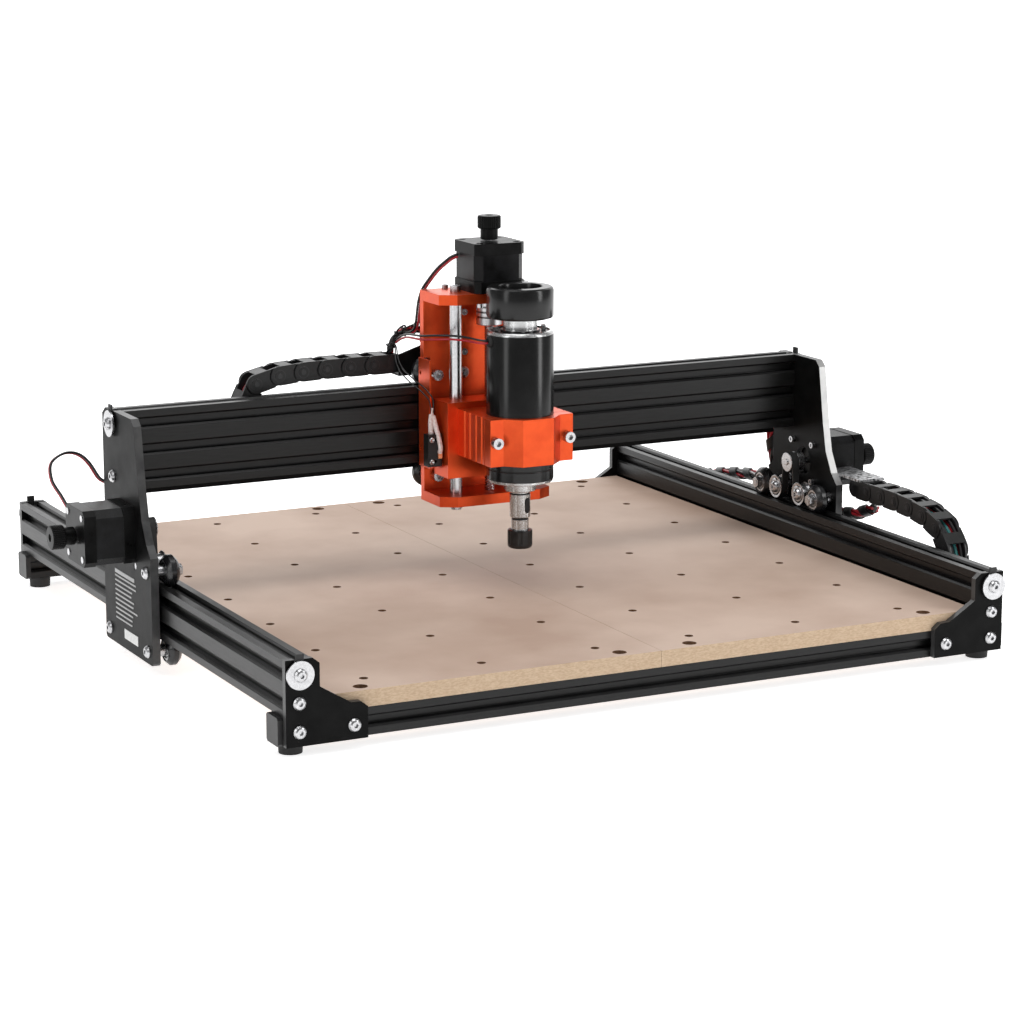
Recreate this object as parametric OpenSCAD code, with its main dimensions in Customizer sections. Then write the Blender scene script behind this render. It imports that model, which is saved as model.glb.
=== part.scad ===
// Belt-driven desktop CNC router: 400 x 400 mm class, V-slot frame,
// travelling gantry, leadscrew Z axis and a 52 mm collet spindle.
// X runs to the right, Y to the back, Z up; the floor is Z = 0.

/* [Frame] */
// Distance between the centres of the two side rails
rail_span = 560; // [400:10:900]
// Length of each side rail
rail_len = 560; // [400:10:900]
// Height of the underside of the cross rails above the floor
foot_h = 8; // [5:1:20]
// Thickness of the wasteboards
board_t = 12; // [6:1:18]
// Radius of the holes in the wasteboards
board_hole_r = 3.2; // [2:0.1:5]

/* [Gantry] */
// Thickness of the gantry side plates
plate_t = 6; // [4:0.5:10]
// Height of the middle of the X beam
beam_z = 158; // [140:1:200]
// Height of the Y motor shafts
y_motor_z = 101.8; // [95:0.1:120]
// Length of the Y motor bodies
y_motor_len = 39.5; // [34:0.5:48]

/* [Head] */
// Middle of the Z head along X, with the carriage at rest
head_x = -2; // [-20:0.5:20]
// Distance of the spindle axis in front of the frame's middle
spindle_y = 62; // [55:0.5:70]
// Diameter of the spindle body
spindle_d = 51.5; // [45:0.5:60]
// Diameter of the Z guide rods
guide_d = 10; // [8:0.5:12]
// Diameter of the Z leadscrew
screw_d = 8; // [6:0.5:10]
// Bore of the collet
collet_d = 3.175; // [1:0.005:7]

/* [Hidden] */
$fn = 48;
rail_x = rail_span / 2;
rail_y = rail_len / 2;
cross_z = foot_h + 10;
rail_z0 = foot_h + 20;
rail_z1 = rail_z0 + 40;
board_z = rail_z0 + board_t;
plate_x = rail_x + 12;
wheel_r = 12;
wheel_gap = 9.75;
wheel_hi = rail_z1 + wheel_gap;
wheel_lo = rail_z0 - wheel_gap;
wheel_y = 41;
beam_y = 26;
beam_top = beam_z + 30;
beam_bot = beam_z - 30;
idler_y = 17.5;
idler_z = rail_z1 + 10;
belt_t = 1.4;
belt_w = 6;
belt_depth = 4.1;
pulley_r = 6.1;
m5 = 2.5;
m5_hole = 2.6;
motor_w = 42.3;
head_l = head_x - 48;
head_r = head_x + 47;
z_top = 256;
z_bot = 107;
z_plate = 8;
rod_dx = 29;
rod_y = -9.5;
motor_x = head_x + 1.5;
x_motor_z = 229.9;
x_wheel_dx = 37.5;
x_idler_z = beam_top + 10;
slide_z0 = 122;
slide_z1 = 181;
clamp_z0 = 140;
clamp_z1 = 176;
chain_w = 19;
chain_h = 15;
x_chain_y = 49.5;
y_chain_x = 311;
x_chain_pins = [[-57.5, 203], [-77.5, 203], [-97.4, 203], [-117.2, 202.8], [-137, 202.2],
  [-156.6, 200.6], [-176, 195.6], [-184.5, 177.6], [-185.5, 158], [-177.5, 140], [-160, 129.8],
  [-140.2, 129.4], [-120.4, 129.4], [-100.6, 129.4], [-80.8, 129.4], [-61, 129.4]];
y_chain_pins = [[-59.4, 88.4], [-79.2, 88.5], [-99, 88.8], [-118.8, 88.5], [-138.5, 87.4],
  [-158, 84.6], [-176.8, 78], [-189.8, 63], [-193.2, 43.6], [-185.4, 25.5], [-168.5, 15.2],
  [-148.8, 13.5], [-129, 13.5], [-109.2, 13.5], [-89.4, 13.5], [-69.6, 13.5]];
tray_screws = [-270, -20, 130, 270];

// routes of the wiring looms, point by point
motor_lead_route = [[-335, 21.3, 118], [-335, 22.6, 118], [-336.4, 25, 121.4], [-339.2, 26.4, 127.2],
  [-342.5, 28, 133], [-344.4, 30, 138], [-344.6, 33, 145], [-342.5, 36, 150], [-338, 37.5, 153.5],
  [-331, 39.5, 155.8], [-323, 42, 155], [-315.5, 44, 151], [-309, 46, 144], [-304, 48.5, 136.5],
  [-300, 50.5, 131.5], [-294, 52, 128], [-286, 52.5, 125.6], [-274, 52, 124.2]];
z_lead_route = [[-23.3, 2, 290], [-24.6, 2, 290], [-28, 3.8, 288.2], [-32, 6, 284.6], [-36.8, 9, 279.5],
  [-41.8, 13, 271.5], [-46, 16.8, 263], [-48.2, 18.6, 254], [-48.8, 20.4, 244], [-48.6, 23, 236],
  [-48.4, 27, 231.2], [-48.8, 32, 228.4], [-49.4, 37, 227], [-50, 42.4, 226.4]];
spindle_lead_route = [[-29.52, -62, 232.5], [-31.4, -62, 232.5], [-34, -60.6, 232.6],
  [-36.2, -57, 232.8], [-38, -50, 233], [-41, -41, 233], [-46, -32, 232.8], [-51.6, -24.4, 232.2],
  [-56, -15, 231], [-58.4, -5, 229.8], [-58.9, 4, 229.2], [-58.9, 13, 228.6], [-58.6, 22, 227.4],
  [-58.2, 31, 225], [-57.6, 38, 222.4], [-57, 43.2, 220.2]];
switch_route = [[-53, -13.7, 161], [-53, -13.6, 164.5], [-53, -13.4, 170], [-53, -13.2, 176.5],
  [-53.7, -12.6, 182.6], [-56, -9, 187.1], [-57.9, -4, 190.4], [-59.6, 4, 193.2], [-61.5, 12, 196.8],
  [-62.8, 20, 200.6], [-63, 27, 205.8], [-61.6, 33, 211], [-59.2, 39, 214.8], [-57.4, 44.8, 216.9]];
carriage_loom_route = [[-59.6, 49.5, 210.7], [-59.4, 49.4, 213], [-58.6, 48.9, 217], [-56.5, 47.8, 221.4],
  [-53, 46.8, 225], [-48, 46.4, 227.3], [-42, 46.9, 228], [-35.5, 48.8, 227.2], [-29, 51, 226],
  [-24.5, 52.3, 225.2], [-21.8, 52.6, 225]];
loom_route = [[311, -80, 75], [311, -70, 71.2], [311, -58, 67], [311, -44.7, 63.6], [311, -26, 62],
  [311, 0, 63], [311, 25, 66], [311, 55, 69], [311, 85, 69.8], [311, 112, 68], [311, 138, 64.4],
  [311, 162, 60], [311, 184, 55], [311, 203, 49], [311, 217, 41.5], [311, 223, 33], [311, 219, 24.5],
  [311, 208, 18], [311, 192, 14.6], [311, 170, 14], [311, 145, 15], [311, 120, 18.5], [311, 98, 26],
  [311, 82, 38], [310, 72, 54], [307.5, 67, 72], [303.5, 64, 90], [299.5, 61.5, 108],
  [296, 59, 120], [291.6, 56, 127.6], [286.5, 54, 131]];

function cross3(a, b) = [a[1]*b[2] - a[2]*b[1], a[2]*b[0] - a[0]*b[2], a[0]*b[1] - a[1]*b[0]];
function unit(v) = v / norm(v);
function heading(p, i) = unit(p[min(i + 1, len(p) - 1)] - p[max(i - 1, 0)]);
function side_of(t) = unit(cross3(t, abs(t[2]) > 0.9 ? [1, 0, 0] : [0, 0, 1]));
function carried(p, i) = i == 0 ? side_of(heading(p, 0))
  : let (t = heading(p, i), s = carried(p, i - 1)) unit(s - (s * t) * t);
function ring(c, t, s, r, n) = [for (k = [0 : n - 1]) let (u = cross3(t, s))
  c + r * (cos(360 * k / n) * s + sin(360 * k / n) * u)];
function arc_points(cx, cy, r, a0, a1, n) =
  [for (i = [0 : n]) let (a = a0 + (a1 - a0) * i / n) [cx + r * cos(a), cy + r * sin(a)]];
function normal2(p, i) = let (d = p[min(i + 1, len(p) - 1)] - p[max(i - 1, 0)]) [-d[1], d[0]] / norm(d);
function band_points(p, t) = concat(
  [for (i = [0 : len(p) - 1]) p[i] + normal2(p, i) * t / 2],
  [for (i = [len(p) - 1 : -1 : 0]) p[i] - normal2(p, i) * t / 2]);

// one closed tube swept along a route
module tube(route, r, n = 8) {
  rings = [for (i = [0 : len(route) - 1]) each ring(route[i], heading(route, i), carried(route, i), r, n)];
  last = n * (len(route) - 1);
  walls = [for (i = [0 : len(route) - 2], k = [0 : n - 1])
    [n*i + k, n*i + (k + 1) % n, n*(i + 1) + (k + 1) % n, n*(i + 1) + k]];
  polyhedron(rings, concat([[for (k = [n - 1 : -1 : 0]) k]], walls, [[for (k = [0 : n - 1]) last + k]]));
}

// cross-section of one V-shaped slot, its mouth on y = 0
module slot_cut() {
  polygon([[-4.6, 0.01], [-3.1, -1.5], [-3.1, -1.8], [-5.5, -1.8], [-5.5, -3.2], [-2.9, -5.9],
    [2.9, -5.9], [5.5, -3.2], [5.5, -1.8], [3.1, -1.8], [3.1, -1.5], [4.6, 0.01]]);
}

// cross-section of a 20 mm wide extrusion, cells high
module rail_profile(cells) {
  difference() {
    square([20, 20 * cells], center = true);
    for (i = [0 : cells - 1]) {
      translate([10, (i - (cells - 1) / 2) * 20]) rotate(-90) slot_cut();
      translate([-10, (i - (cells - 1) / 2) * 20]) rotate(90) slot_cut();
      translate([0, (i - (cells - 1) / 2) * 20]) circle(r = m5_hole);
    }
    translate([0, 10 * cells]) slot_cut();
    translate([0, -10 * cells]) rotate(180) slot_cut();
  }
}

module rail_along_y(cells, length) {
  rotate([90, 0, 0]) linear_extrude(height = length, center = true) rail_profile(cells);
}

module rail_along_x(cells, length) {
  rotate([90, 0, 90]) linear_extrude(height = length, center = true) rail_profile(cells);
}

// plate cut from an outline in Y and Z, filling x0 to x0 + t
module yz_plate(x0, t) {
  translate([x0, 0, 0]) rotate([90, 0, 90]) linear_extrude(height = t) children();
}

// plate cut from an outline in X and Z, filling y0 - t to y0
module xz_plate(y0, t) {
  translate([0, y0, 0]) rotate([90, 0, 0]) linear_extrude(height = t) children();
}

// domed head on z = 0 with its shank below
module button_screw(length, head_r = 4.75, shank_r = m5) {
  difference() {
    union() {
      rotate_extrude() polygon([[0, 0], [head_r, 0], [head_r, 0.7], [head_r * 0.82, 2],
        [head_r * 0.6, 2.75], [0, 2.75]]);
      translate([0, 0, -length]) cylinder(r = shank_r, h = length + 0.5);
    }
    translate([0, 0, 1.1]) cylinder(r = 1.75, h = 2, $fn = 6);
  }
}

// cylindrical head on z = 0 with its shank below
module socket_screw(length, shank_r = m5) {
  difference() {
    union() {
      cylinder(r = shank_r * 1.7, h = shank_r * 2);
      translate([0, 0, -length]) cylinder(r = shank_r, h = length + 0.5);
    }
    translate([0, 0, shank_r]) cylinder(r = shank_r * 0.92, h = shank_r + 1, $fn = 6);
  }
}

module washer(r, hole_r, t) {
  difference() {
    cylinder(r = r, h = t);
    translate([0, 0, -1]) cylinder(r = hole_r, h = t + 2);
  }
}

module hex_nut(across, hole_r, t) {
  difference() {
    cylinder(r = across / sqrt(3), h = t, $fn = 6);
    translate([0, 0, -1]) cylinder(r = hole_r, h = t + 2);
  }
}

// V-wheel centred on the origin, its axis along Z
module v_wheel() {
  rotate_extrude() polygon([[m5_hole, -4], [5.4, -4], [5.4, -5.1], [8.8, -5.1], [wheel_r, -1.9],
    [wheel_r, 1.9], [8.8, 5.1], [5.4, 5.1], [5.4, 4], [m5_hole, 4]]);
}

// flanged belt idler centred on the origin, its axis along Z
module belt_idler() {
  rotate_extrude() polygon([[m5_hole, -4], [9.5, -4], [9.5, -3.3], [7.7, -3.3], [7.7, 3.3],
    [9.5, 3.3], [9.5, 4], [m5_hole, 4]]);
}

// toothed pulley with its hub, the belt line at z = 0, on its shaft up to the hand knob
module pulley_shaft(shaft_from, knob_at) {
  translate([0, 0, -4.2]) cylinder(r = 8, h = 1);
  translate([0, 0, -3.4]) cylinder(r = pulley_r, h = 7);
  translate([0, 0, 3.4]) cylinder(r = 8, h = 6);
  translate([0, 0, shaft_from]) cylinder(r = m5, h = knob_at - shaft_from + 1);
  translate([0, 0, knob_at]) hand_knob();
}

// knurled hand knob on its narrow neck, 19 mm long
module hand_knob() {
  difference() {
    union() {
      translate([0, 0, 0.5]) cylinder(r = 6.8, h = 9);
      translate([0, 0, 9]) rotate_extrude() polygon([[0, 0], [9, 0], [9, 9], [8, 10], [0, 10]]);
    }
    translate([0, 0, 18]) cylinder(r = 2.2, h = 2);
  }
}

// stepping motor, its mounting face on z = 0 and its body above
module step_motor(length) {
  difference() {
    union() {
      translate([0, 0, -2]) cylinder(r = 11, h = 2.5);
      linear_extrude(height = 9) motor_section(motor_w, 4);
      translate([0, 0, 8.5]) linear_extrude(height = length - 17) motor_section(motor_w - 0.8, 5.6);
      translate([0, 0, length - 9]) linear_extrude(height = 9) motor_section(motor_w, 4);
    }
    translate([0, 0, -3]) cylinder(r = 2.58, h = length + 6);
    for (sx = [-1, 1], sy = [-1, 1]) {
      translate([sx * 15.5, sy * 15.5, -1]) cylinder(r = 1.55, h = 5.5);
      translate([sx * 15.5, sy * 15.5, length - 1.2]) cylinder(r = 2.8, h = 2);
    }
  }
}

module motor_section(w, c) {
  h = w / 2;
  polygon([[-h + c, -h], [h - c, -h], [h, -h + c], [h, h - c], [h - c, h], [-h + c, h], [-h, h - c],
    [-h, -h + c]]);
}

// belt from one idler up over the pulley and down to the other, in the plane of the page
module belt_loop_profile(half_gap, rise) {
  ri = 8 + belt_t / 2;
  rp = 6.4 + belt_t / 2;
  a = atan2(rise, half_gap) - acos((ri + rp) / norm([half_gap, rise]));
  half = concat([[-half_gap - 6, -ri]], arc_points(-half_gap, 0, ri, -90, a, 10),
    arc_points(0, rise, rp, a + 180, 90, 8));
  path = concat(half, [for (i = [len(half) - 2 : -1 : 0]) [-half[i][0], half[i][1]]]);
  polygon(band_points(path, belt_t));
}

// one link of a cable chain, along X, centred on the origin
module chain_link(pitch) {
  half = pitch / 2 - 0.4;
  difference() {
    rotate([90, 0, 0]) linear_extrude(height = chain_w, center = true)
      polygon([[3.4 - half, -7.5], [half - 3.4, -7.5], [half, -1], [half, 1], [half - 3.4, 7.5],
        [3.4 - half, 7.5], [-half, 1], [-half, -1]]);
    cube([30, chain_w - 4, chain_h - 4], center = true);
  }
}

// one link from each pin to the next
module cable_chain(pins) {
  for (i = [0 : len(pins) - 2]) {
    mid = (pins[i] + pins[i + 1]) / 2;
    run = pins[i + 1] - pins[i];
    translate([mid[0], 0, mid[1]]) rotate([0, -atan2(run[1], run[0]), 0]) chain_link(norm(run));
  }
}

module side_rail(sx) {
  color("#17181b") translate([sx * rail_x, 0, rail_z0 + 20]) rail_along_y(2, rail_len);
}

module side_rails() {
  side_rail(-1);
  side_rail(1);
}

module cross_rails() {
  color("#17181b") for (sy = [-1, 1])
    translate([0, sy * (rail_y - 10), cross_z]) rail_along_x(1, rail_span + 20);
}

module rail_end_caps() {
  color("#101012") for (sx = [-1, 1], sy = [-1, 1])
    translate([sx * (rail_x + 12), sy * (rail_y - 10), cross_z]) rotate([0, 90, 0])
      linear_extrude(height = 4, center = true) motor_section(20, 1.6);
}

module bracket_outline() {
  difference() {
    polygon([[-rail_x - 10, foot_h], [-rail_x - 10, rail_z1 + 0.5], [-rail_x + 10, rail_z1 + 0.5],
      [-rail_x + 15, rail_z1 - 3.5], [-rail_x + 15, 48], [-rail_x + 37.5, 34.3], [-rail_x + 45, 34],
      [-rail_x + 50, 30], [-rail_x + 50, foot_h]]);
    translate([-rail_x - 3.3, rail_z1 - 5.4]) square([6.6, 10]);
    for (z = [cross_z, cross_z + 20, cross_z + 40]) translate([-rail_x, z]) circle(r = m5_hole);
    translate([-rail_x + 40, cross_z]) circle(r = m5_hole);
  }
}

module corner_brackets() {
  color("#141416") for (sx = [0, 1], y0 = [-rail_y, rail_y + 5])
    mirror([sx, 0, 0]) xz_plate(y0, 5) bracket_outline();
}

module rubber_feet() {
  color("#0c0c0d") for (sx = [-1, 1], sy = [-1, 1])
    translate([sx * rail_x, sy * (rail_y - 12), 0]) cylinder(r1 = 8.2, r2 = 8.75, h = foot_h);
}

module wasteboards() {
  gap = 0.15;
  color("#c9a889") for (sx = [-1, 1]) difference() {
    translate([sx > 0 ? gap : -rail_x + 10.3, -rail_y, rail_z0])
      cube([rail_x - 10.3 - gap, rail_len, board_t]);
    for (x = [38.5, 128.5, 218.5], y = [-252 : 84 : 252])
      translate([sx * x, y, rail_z0 - 1]) cylinder(r = board_hole_r, h = board_t + 2);
    for (x = [28.5, 229], sy = [-1, 1]) {
      translate([sx * x, sy * (rail_y - 10), rail_z0 - 1]) cylinder(r = m5_hole, h = board_t + 2);
      translate([sx * x, sy * (rail_y - 10), board_z - 5]) cylinder(r = 5.2, h = 6);
    }
  }
}

module frame_screws() {
  color("#c8cacc") for (sx = [-1, 1], sy = [-1, 1]) {
    turn = sy < 0 ? 90 : -90;
    face = rail_y + 5;
    translate([sx * rail_x, sy * (face + belt_t), cross_z + 40]) rotate([turn, 0, 0])
      washer(10, m5_hole, 1.5);
    translate([sx * rail_x, sy * (face + belt_t + 1.52), cross_z + 40]) rotate([turn, 0, 0])
      button_screw(18);
    translate([sx * rail_x, sy * face, cross_z + 20]) rotate([turn, 0, 0]) button_screw(16);
    translate([sx * rail_x, sy * face, cross_z]) rotate([turn, 0, 0]) button_screw(10.5);
    translate([sx * (rail_x - 40), sy * face, cross_z]) rotate([turn, 0, 0]) button_screw(10.5);
    for (x = [28.5, 229]) translate([sx * x, sy * (rail_y - 10), board_z - 5])
      button_screw(12.5, 4.4);
  }
}

module y_belts() {
  reach = rail_y + 5;
  z0 = rail_z1 - belt_depth - belt_t / 2;
  color("#1b1b1c") for (sx = [-1, 1]) translate([sx * rail_x - belt_w / 2, 0, 0]) {
    translate([0, -reach - belt_t, z0]) cube([belt_w, 2 * (reach + belt_t), belt_t]);
    for (y0 = [-reach - belt_t, reach]) translate([0, y0, z0 - 2]) cube([belt_w, belt_t, 11]);
  }
}

module y_cable_chain() {
  color("#26272a") translate([y_chain_x, 0, 0]) rotate([0, 0, 90]) cable_chain(y_chain_pins);
}

module chain_anchor() {
  z0 = 4.2;
  color("#9a9da1") difference() {
    union() {
      translate([262, -85, z0]) cube([59, 30, 1.5]);
      translate([262, -85, z0]) cube([1.5, 30, rail_z0 - z0]);
      translate([242, -85, rail_z0 - 1.5]) cube([21.5, 30, 1.5]);
    }
    for (y = [-77, -63]) translate([250, y, rail_z0 - 3]) cylinder(r = 2.2, h = 5);
  }
}

module gantry_plate_outline() {
  back = 47;
  difference() {
    polygon([[-49, 9], [49, 9], [51, 11], [51, 88], [back, 96], [back, 183], [40, beam_top],
      [-16, beam_top], [-21.5, 183], [-29, 137], [-34, 115], [-43, 98.5], [-51, 90], [-51, 11]]);
    for (z = [beam_z - 20, beam_z + 20]) translate([beam_y, z]) circle(r = m5_hole);
    translate([beam_y - 3.3, beam_top - 5.4]) square([6.6, 10]);
    translate([0, y_motor_z]) circle(r = 11.3);
    for (sy = [-1, 1], sz = [-1, 1])
      translate([sy * 15.5, y_motor_z + sz * 15.5]) circle(r = 1.6);
    for (sy = [-1, 1], z = [wheel_lo, wheel_hi]) translate([sy * wheel_y, z]) circle(r = m5_hole);
    for (sy = [-1, 1]) translate([sy * idler_y, idler_z]) circle(r = m5_hole);
  }
}

module gantry_plates() {
  color("#131315") for (x0 = [-plate_x - plate_t, plate_x]) yz_plate(x0, plate_t) gantry_plate_outline();
}

module x_beam() {
  color("#17181b") translate([0, beam_y, beam_z]) rail_along_x(3, 2 * plate_x);
}

module chain_tray() {
  color("#17181a") difference() {
    translate([-285, 0, 0]) rotate([90, 0, 90]) linear_extrude(height = 570)
      polygon([[36, 120.4], [61.5, 120.4], [61.5, 126], [60, 126], [60, 121.8], [37.5, 121.8],
        [37.5, 147], [36, 147]]);
    for (x = tray_screws) translate([x, 30, beam_z - 20]) rotate([-90, 0, 0])
      cylinder(r = m5_hole, h = 12);
  }
}

module chain_bracket() {
  color("#8f9296") difference() {
    union() {
      translate([plate_x + plate_t, -76, 96.3]) cube([24, 52, 2]);
      translate([plate_x + plate_t, -45, 84]) cube([2, 21, 14]);
    }
    for (y = [-70, -56]) translate([311, y, 95]) cylinder(r = 2.1, h = 5);
    translate([plate_x, -35, 90]) rotate([0, 90, 0]) cylinder(r = 1.6, h = 12);
  }
}

module x_cable_chain() {
  color("#26272a") translate([0, x_chain_y, 0]) cable_chain(x_chain_pins);
}

module y_motors() {
  color("#1e1f22") for (sx = [-1, 1]) translate([sx * (plate_x + plate_t), 0, y_motor_z])
    rotate([0, sx * 90, 0]) step_motor(y_motor_len);
}

module gantry_fasteners() {
  edge = plate_x + plate_t;
  color("#c4c6c9") for (sx = [-1, 1]) {
    for (sy = [-1, 1], z = [wheel_lo, wheel_hi]) translate([0, sy * wheel_y, z])
      axle_set(sx, edge, rail_x);
    for (sy = [-1, 1]) translate([0, sy * idler_y, idler_z]) idler_axle(sx, edge, rail_x);
    translate([sx * (edge + belt_t), beam_y, beam_z + 20]) rotate([0, sx * 90, 0])
      washer(10, m5_hole, 1.5);
    translate([sx * (edge + belt_t + 1.52), beam_y, beam_z + 20]) rotate([0, sx * 90, 0])
      button_screw(19);
    translate([sx * edge, beam_y, beam_z - 20]) rotate([0, sx * 90, 0]) button_screw(17);
    for (sy = [-1, 1], sz = [-1, 1]) {
      translate([sx * plate_x, sy * 15.5, y_motor_z + sz * 15.5]) rotate([0, -sx * 90, 0])
        socket_screw(10, 1.5);
      translate([sx * (edge + y_motor_len - 1.2), sy * 15.5, y_motor_z + sz * 15.5])
        rotate([0, sx * 90, 0]) cylinder(r = 2.6, h = 1.8);
    }
  }
  color("#c4c6c9") for (x = tray_screws) translate([x, 37.5, beam_z - 20])
    rotate([-90, 0, 0]) button_screw(6.5);
}

// wheel axle bolt with its spacer and nut; edge is the plate's outer face, rail the wheel plane
module axle_set(sx, edge, rail) {
  translate([sx * edge, 0, 0]) rotate([0, sx * 90, 0]) button_screw(edge - rail + 9.4);
  translate([sx * (rail + 5.2), 0, 0]) rotate([0, sx * 90, 0])
    washer(4.6, m5 + 0.01, edge - plate_t - rail - 5.2);
  translate([sx * (rail - 9.1), 0, 0]) rotate([0, sx * 90, 0]) hex_nut(8, m5 + 0.01, 4);
}

module idler_axle(sx, edge, rail) {
  translate([sx * (rail - 4.1), 0, 0]) rotate([0, -sx * 90, 0]) button_screw(edge - rail + 3.8);
  translate([sx * (rail + 4.1), 0, 0]) rotate([0, sx * 90, 0])
    washer(3.9, m5 + 0.01, edge - plate_t - rail - 4.1);
}

module gantry_belts() {
  z0 = beam_top - belt_depth - belt_t / 2;
  reach = plate_x + plate_t;
  color("#1b1b1c") {
    for (sx = [-1, 1]) translate([sx * rail_x - belt_w / 2, 0, idler_z]) rotate([90, 0, 90])
      linear_extrude(height = belt_w) belt_loop_profile(idler_y, y_motor_z - idler_z);
    translate([-reach - belt_t, beam_y - belt_w / 2, z0]) cube([2 * (reach + belt_t), belt_w, belt_t]);
    for (x0 = [-reach - belt_t, reach]) translate([x0, beam_y - belt_w / 2, z0 - 2])
      cube([belt_t, belt_w, 11]);
  }
}

module motor_lead() color("#3a1416") tube(motor_lead_route, 2, 10);

module gantry_loom() color("#1a1a1c") tube(loom_route, 5.5, 10);

module y_wheel(sx, sy, z) {
  color("#1c1c1e") translate([sx * rail_x, sy * wheel_y, z]) rotate([0, 90, 0]) v_wheel();
}

module left_front_upper_wheel() y_wheel(-1, -1, wheel_hi);

module left_rear_upper_wheel() y_wheel(-1, 1, wheel_hi);

module left_front_lower_wheel() y_wheel(-1, -1, wheel_lo);

module left_rear_lower_wheel() y_wheel(-1, 1, wheel_lo);

module right_front_upper_wheel() y_wheel(1, -1, wheel_hi);

module right_rear_upper_wheel() y_wheel(1, 1, wheel_hi);

module right_front_lower_wheel() y_wheel(1, -1, wheel_lo);

module right_rear_lower_wheel() y_wheel(1, 1, wheel_lo);

module y_idler(sx, sy) {
  color("#d2d4d6") translate([sx * rail_x, sy * idler_y, idler_z]) rotate([0, 90, 0]) belt_idler();
}

module left_front_idler() y_idler(-1, -1);

module left_rear_idler() y_idler(-1, 1);

module right_front_idler() y_idler(1, -1);

module right_rear_idler() y_idler(1, 1);

module y_pulley(sx) {
  color("#cfd1d4") translate([sx * rail_x, 0, y_motor_z]) rotate([0, sx * 90, 0])
    pulley_shaft(-5, 12 + plate_t + y_motor_len + 0.5);
}

module left_motor_pulley() y_pulley(-1);

module right_motor_pulley() y_pulley(1);

module z_back_plate() {
  color("#e0582b") difference() {
    xz_plate(14, 6) difference() {
      polygon([[head_l, z_bot], [head_r, z_bot], [head_r, z_top], [head_l, z_top], [head_l, 211.5],
        [head_l + 5.7, 211.5], [head_l + 5.7, 126.5], [head_l, 126.5]]);
      for (sx = [-1, 1], z = [beam_bot - wheel_gap, beam_top + wheel_gap])
        translate([head_x + sx * x_wheel_dx, z]) circle(r = m5_hole);
      for (sx = [-1, 1]) {
        translate([motor_x + sx * 15.5, x_idler_z]) circle(r = m5_hole);
        for (sz = [-1, 1])
          translate([motor_x + sx * 15.5, x_motor_z + sz * 15.5]) circle(r = 1.6);
      }
    }
    for (x = [head_l + 20, head_r - 20], z = [z_bot - 1, z_top - 9])
      translate([x, 11, z]) cylinder(r = 1.6, h = 10);
    for (sx = [-1, 1]) translate([head_x + sx * 15.5, rod_y + 15.5, z_top - 4]) cylinder(r = 2.8, h = 5);
  }
}

module end_plate_outline() {
  polygon([[head_l, 14], [head_l, -20], [head_l + 12, -27.5], [head_r - 12, -27.5], [head_r, -20],
    [head_r, 14]]);
}

module z_end_plates() {
  color("#e0582b") {
    translate([0, 0, z_top]) linear_extrude(height = z_plate) difference() {
      end_plate_outline();
      translate([head_x, rod_y]) circle(r = 11.1);
      for (sx = [-1, 1]) translate([head_x + sx * rod_dx, rod_y]) circle(r = m5_hole);
      for (x = [head_l + 20, head_r - 20]) translate([x, 11]) circle(r = 1.6);
      for (sx = [-1, 1], sy = [-1, 1])
        translate([head_x + sx * 15.5, rod_y + sy * 15.5]) circle(r = 1.6);
    }
    translate([0, 0, z_bot - z_plate]) linear_extrude(height = z_plate) difference() {
      end_plate_outline();
      translate([head_x, rod_y]) circle(r = screw_d / 2 + 0.05);
      for (sx = [-1, 1]) translate([head_x + sx * rod_dx, rod_y]) circle(r = m5_hole);
      for (x = [head_l + 20, head_r - 20]) translate([x, 11]) circle(r = 1.6);
    }
  }
}

module z_guide_rods() {
  color("#d5d7da") for (sx = [-1, 1]) translate([head_x + sx * rod_dx, rod_y, z_bot])
    difference() {
      cylinder(r = guide_d / 2, h = z_top - z_bot);
      translate([0, 0, -1]) cylinder(r = m5 + 0.02, h = 14);
      translate([0, 0, z_top - z_bot - 13]) cylinder(r = m5 + 0.02, h = 14);
    }
}

module z_motor() {
  color("#1e1f22") translate([head_x, rod_y, z_top + z_plate]) step_motor(38);
}

module x_motor() {
  color("#1e1f22") translate([motor_x, 38, x_motor_z]) rotate([-90, 0, 0]) step_motor(38);
}

module x_motor_plate() {
  color("#151517") {
    xz_plate(38, 1.5) difference() {
      polygon([[-58, 193.6], [-40, 193.6], [motor_x - 21, 205], [motor_x + 21, 205],
        [motor_x + 21, 251], [motor_x - 21, 251], [motor_x - 21, 222], [-58, 210.5]]);
      translate([motor_x, x_motor_z]) circle(r = 11.1);
      for (sx = [-1, 1], sz = [-1, 1])
        translate([motor_x + sx * 15.5, x_motor_z + sz * 15.5]) circle(r = 1.6);
    }
    translate([-58, 37.5, 193.6]) cube([18, 21.5, 1.4]);
  }
}

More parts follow.
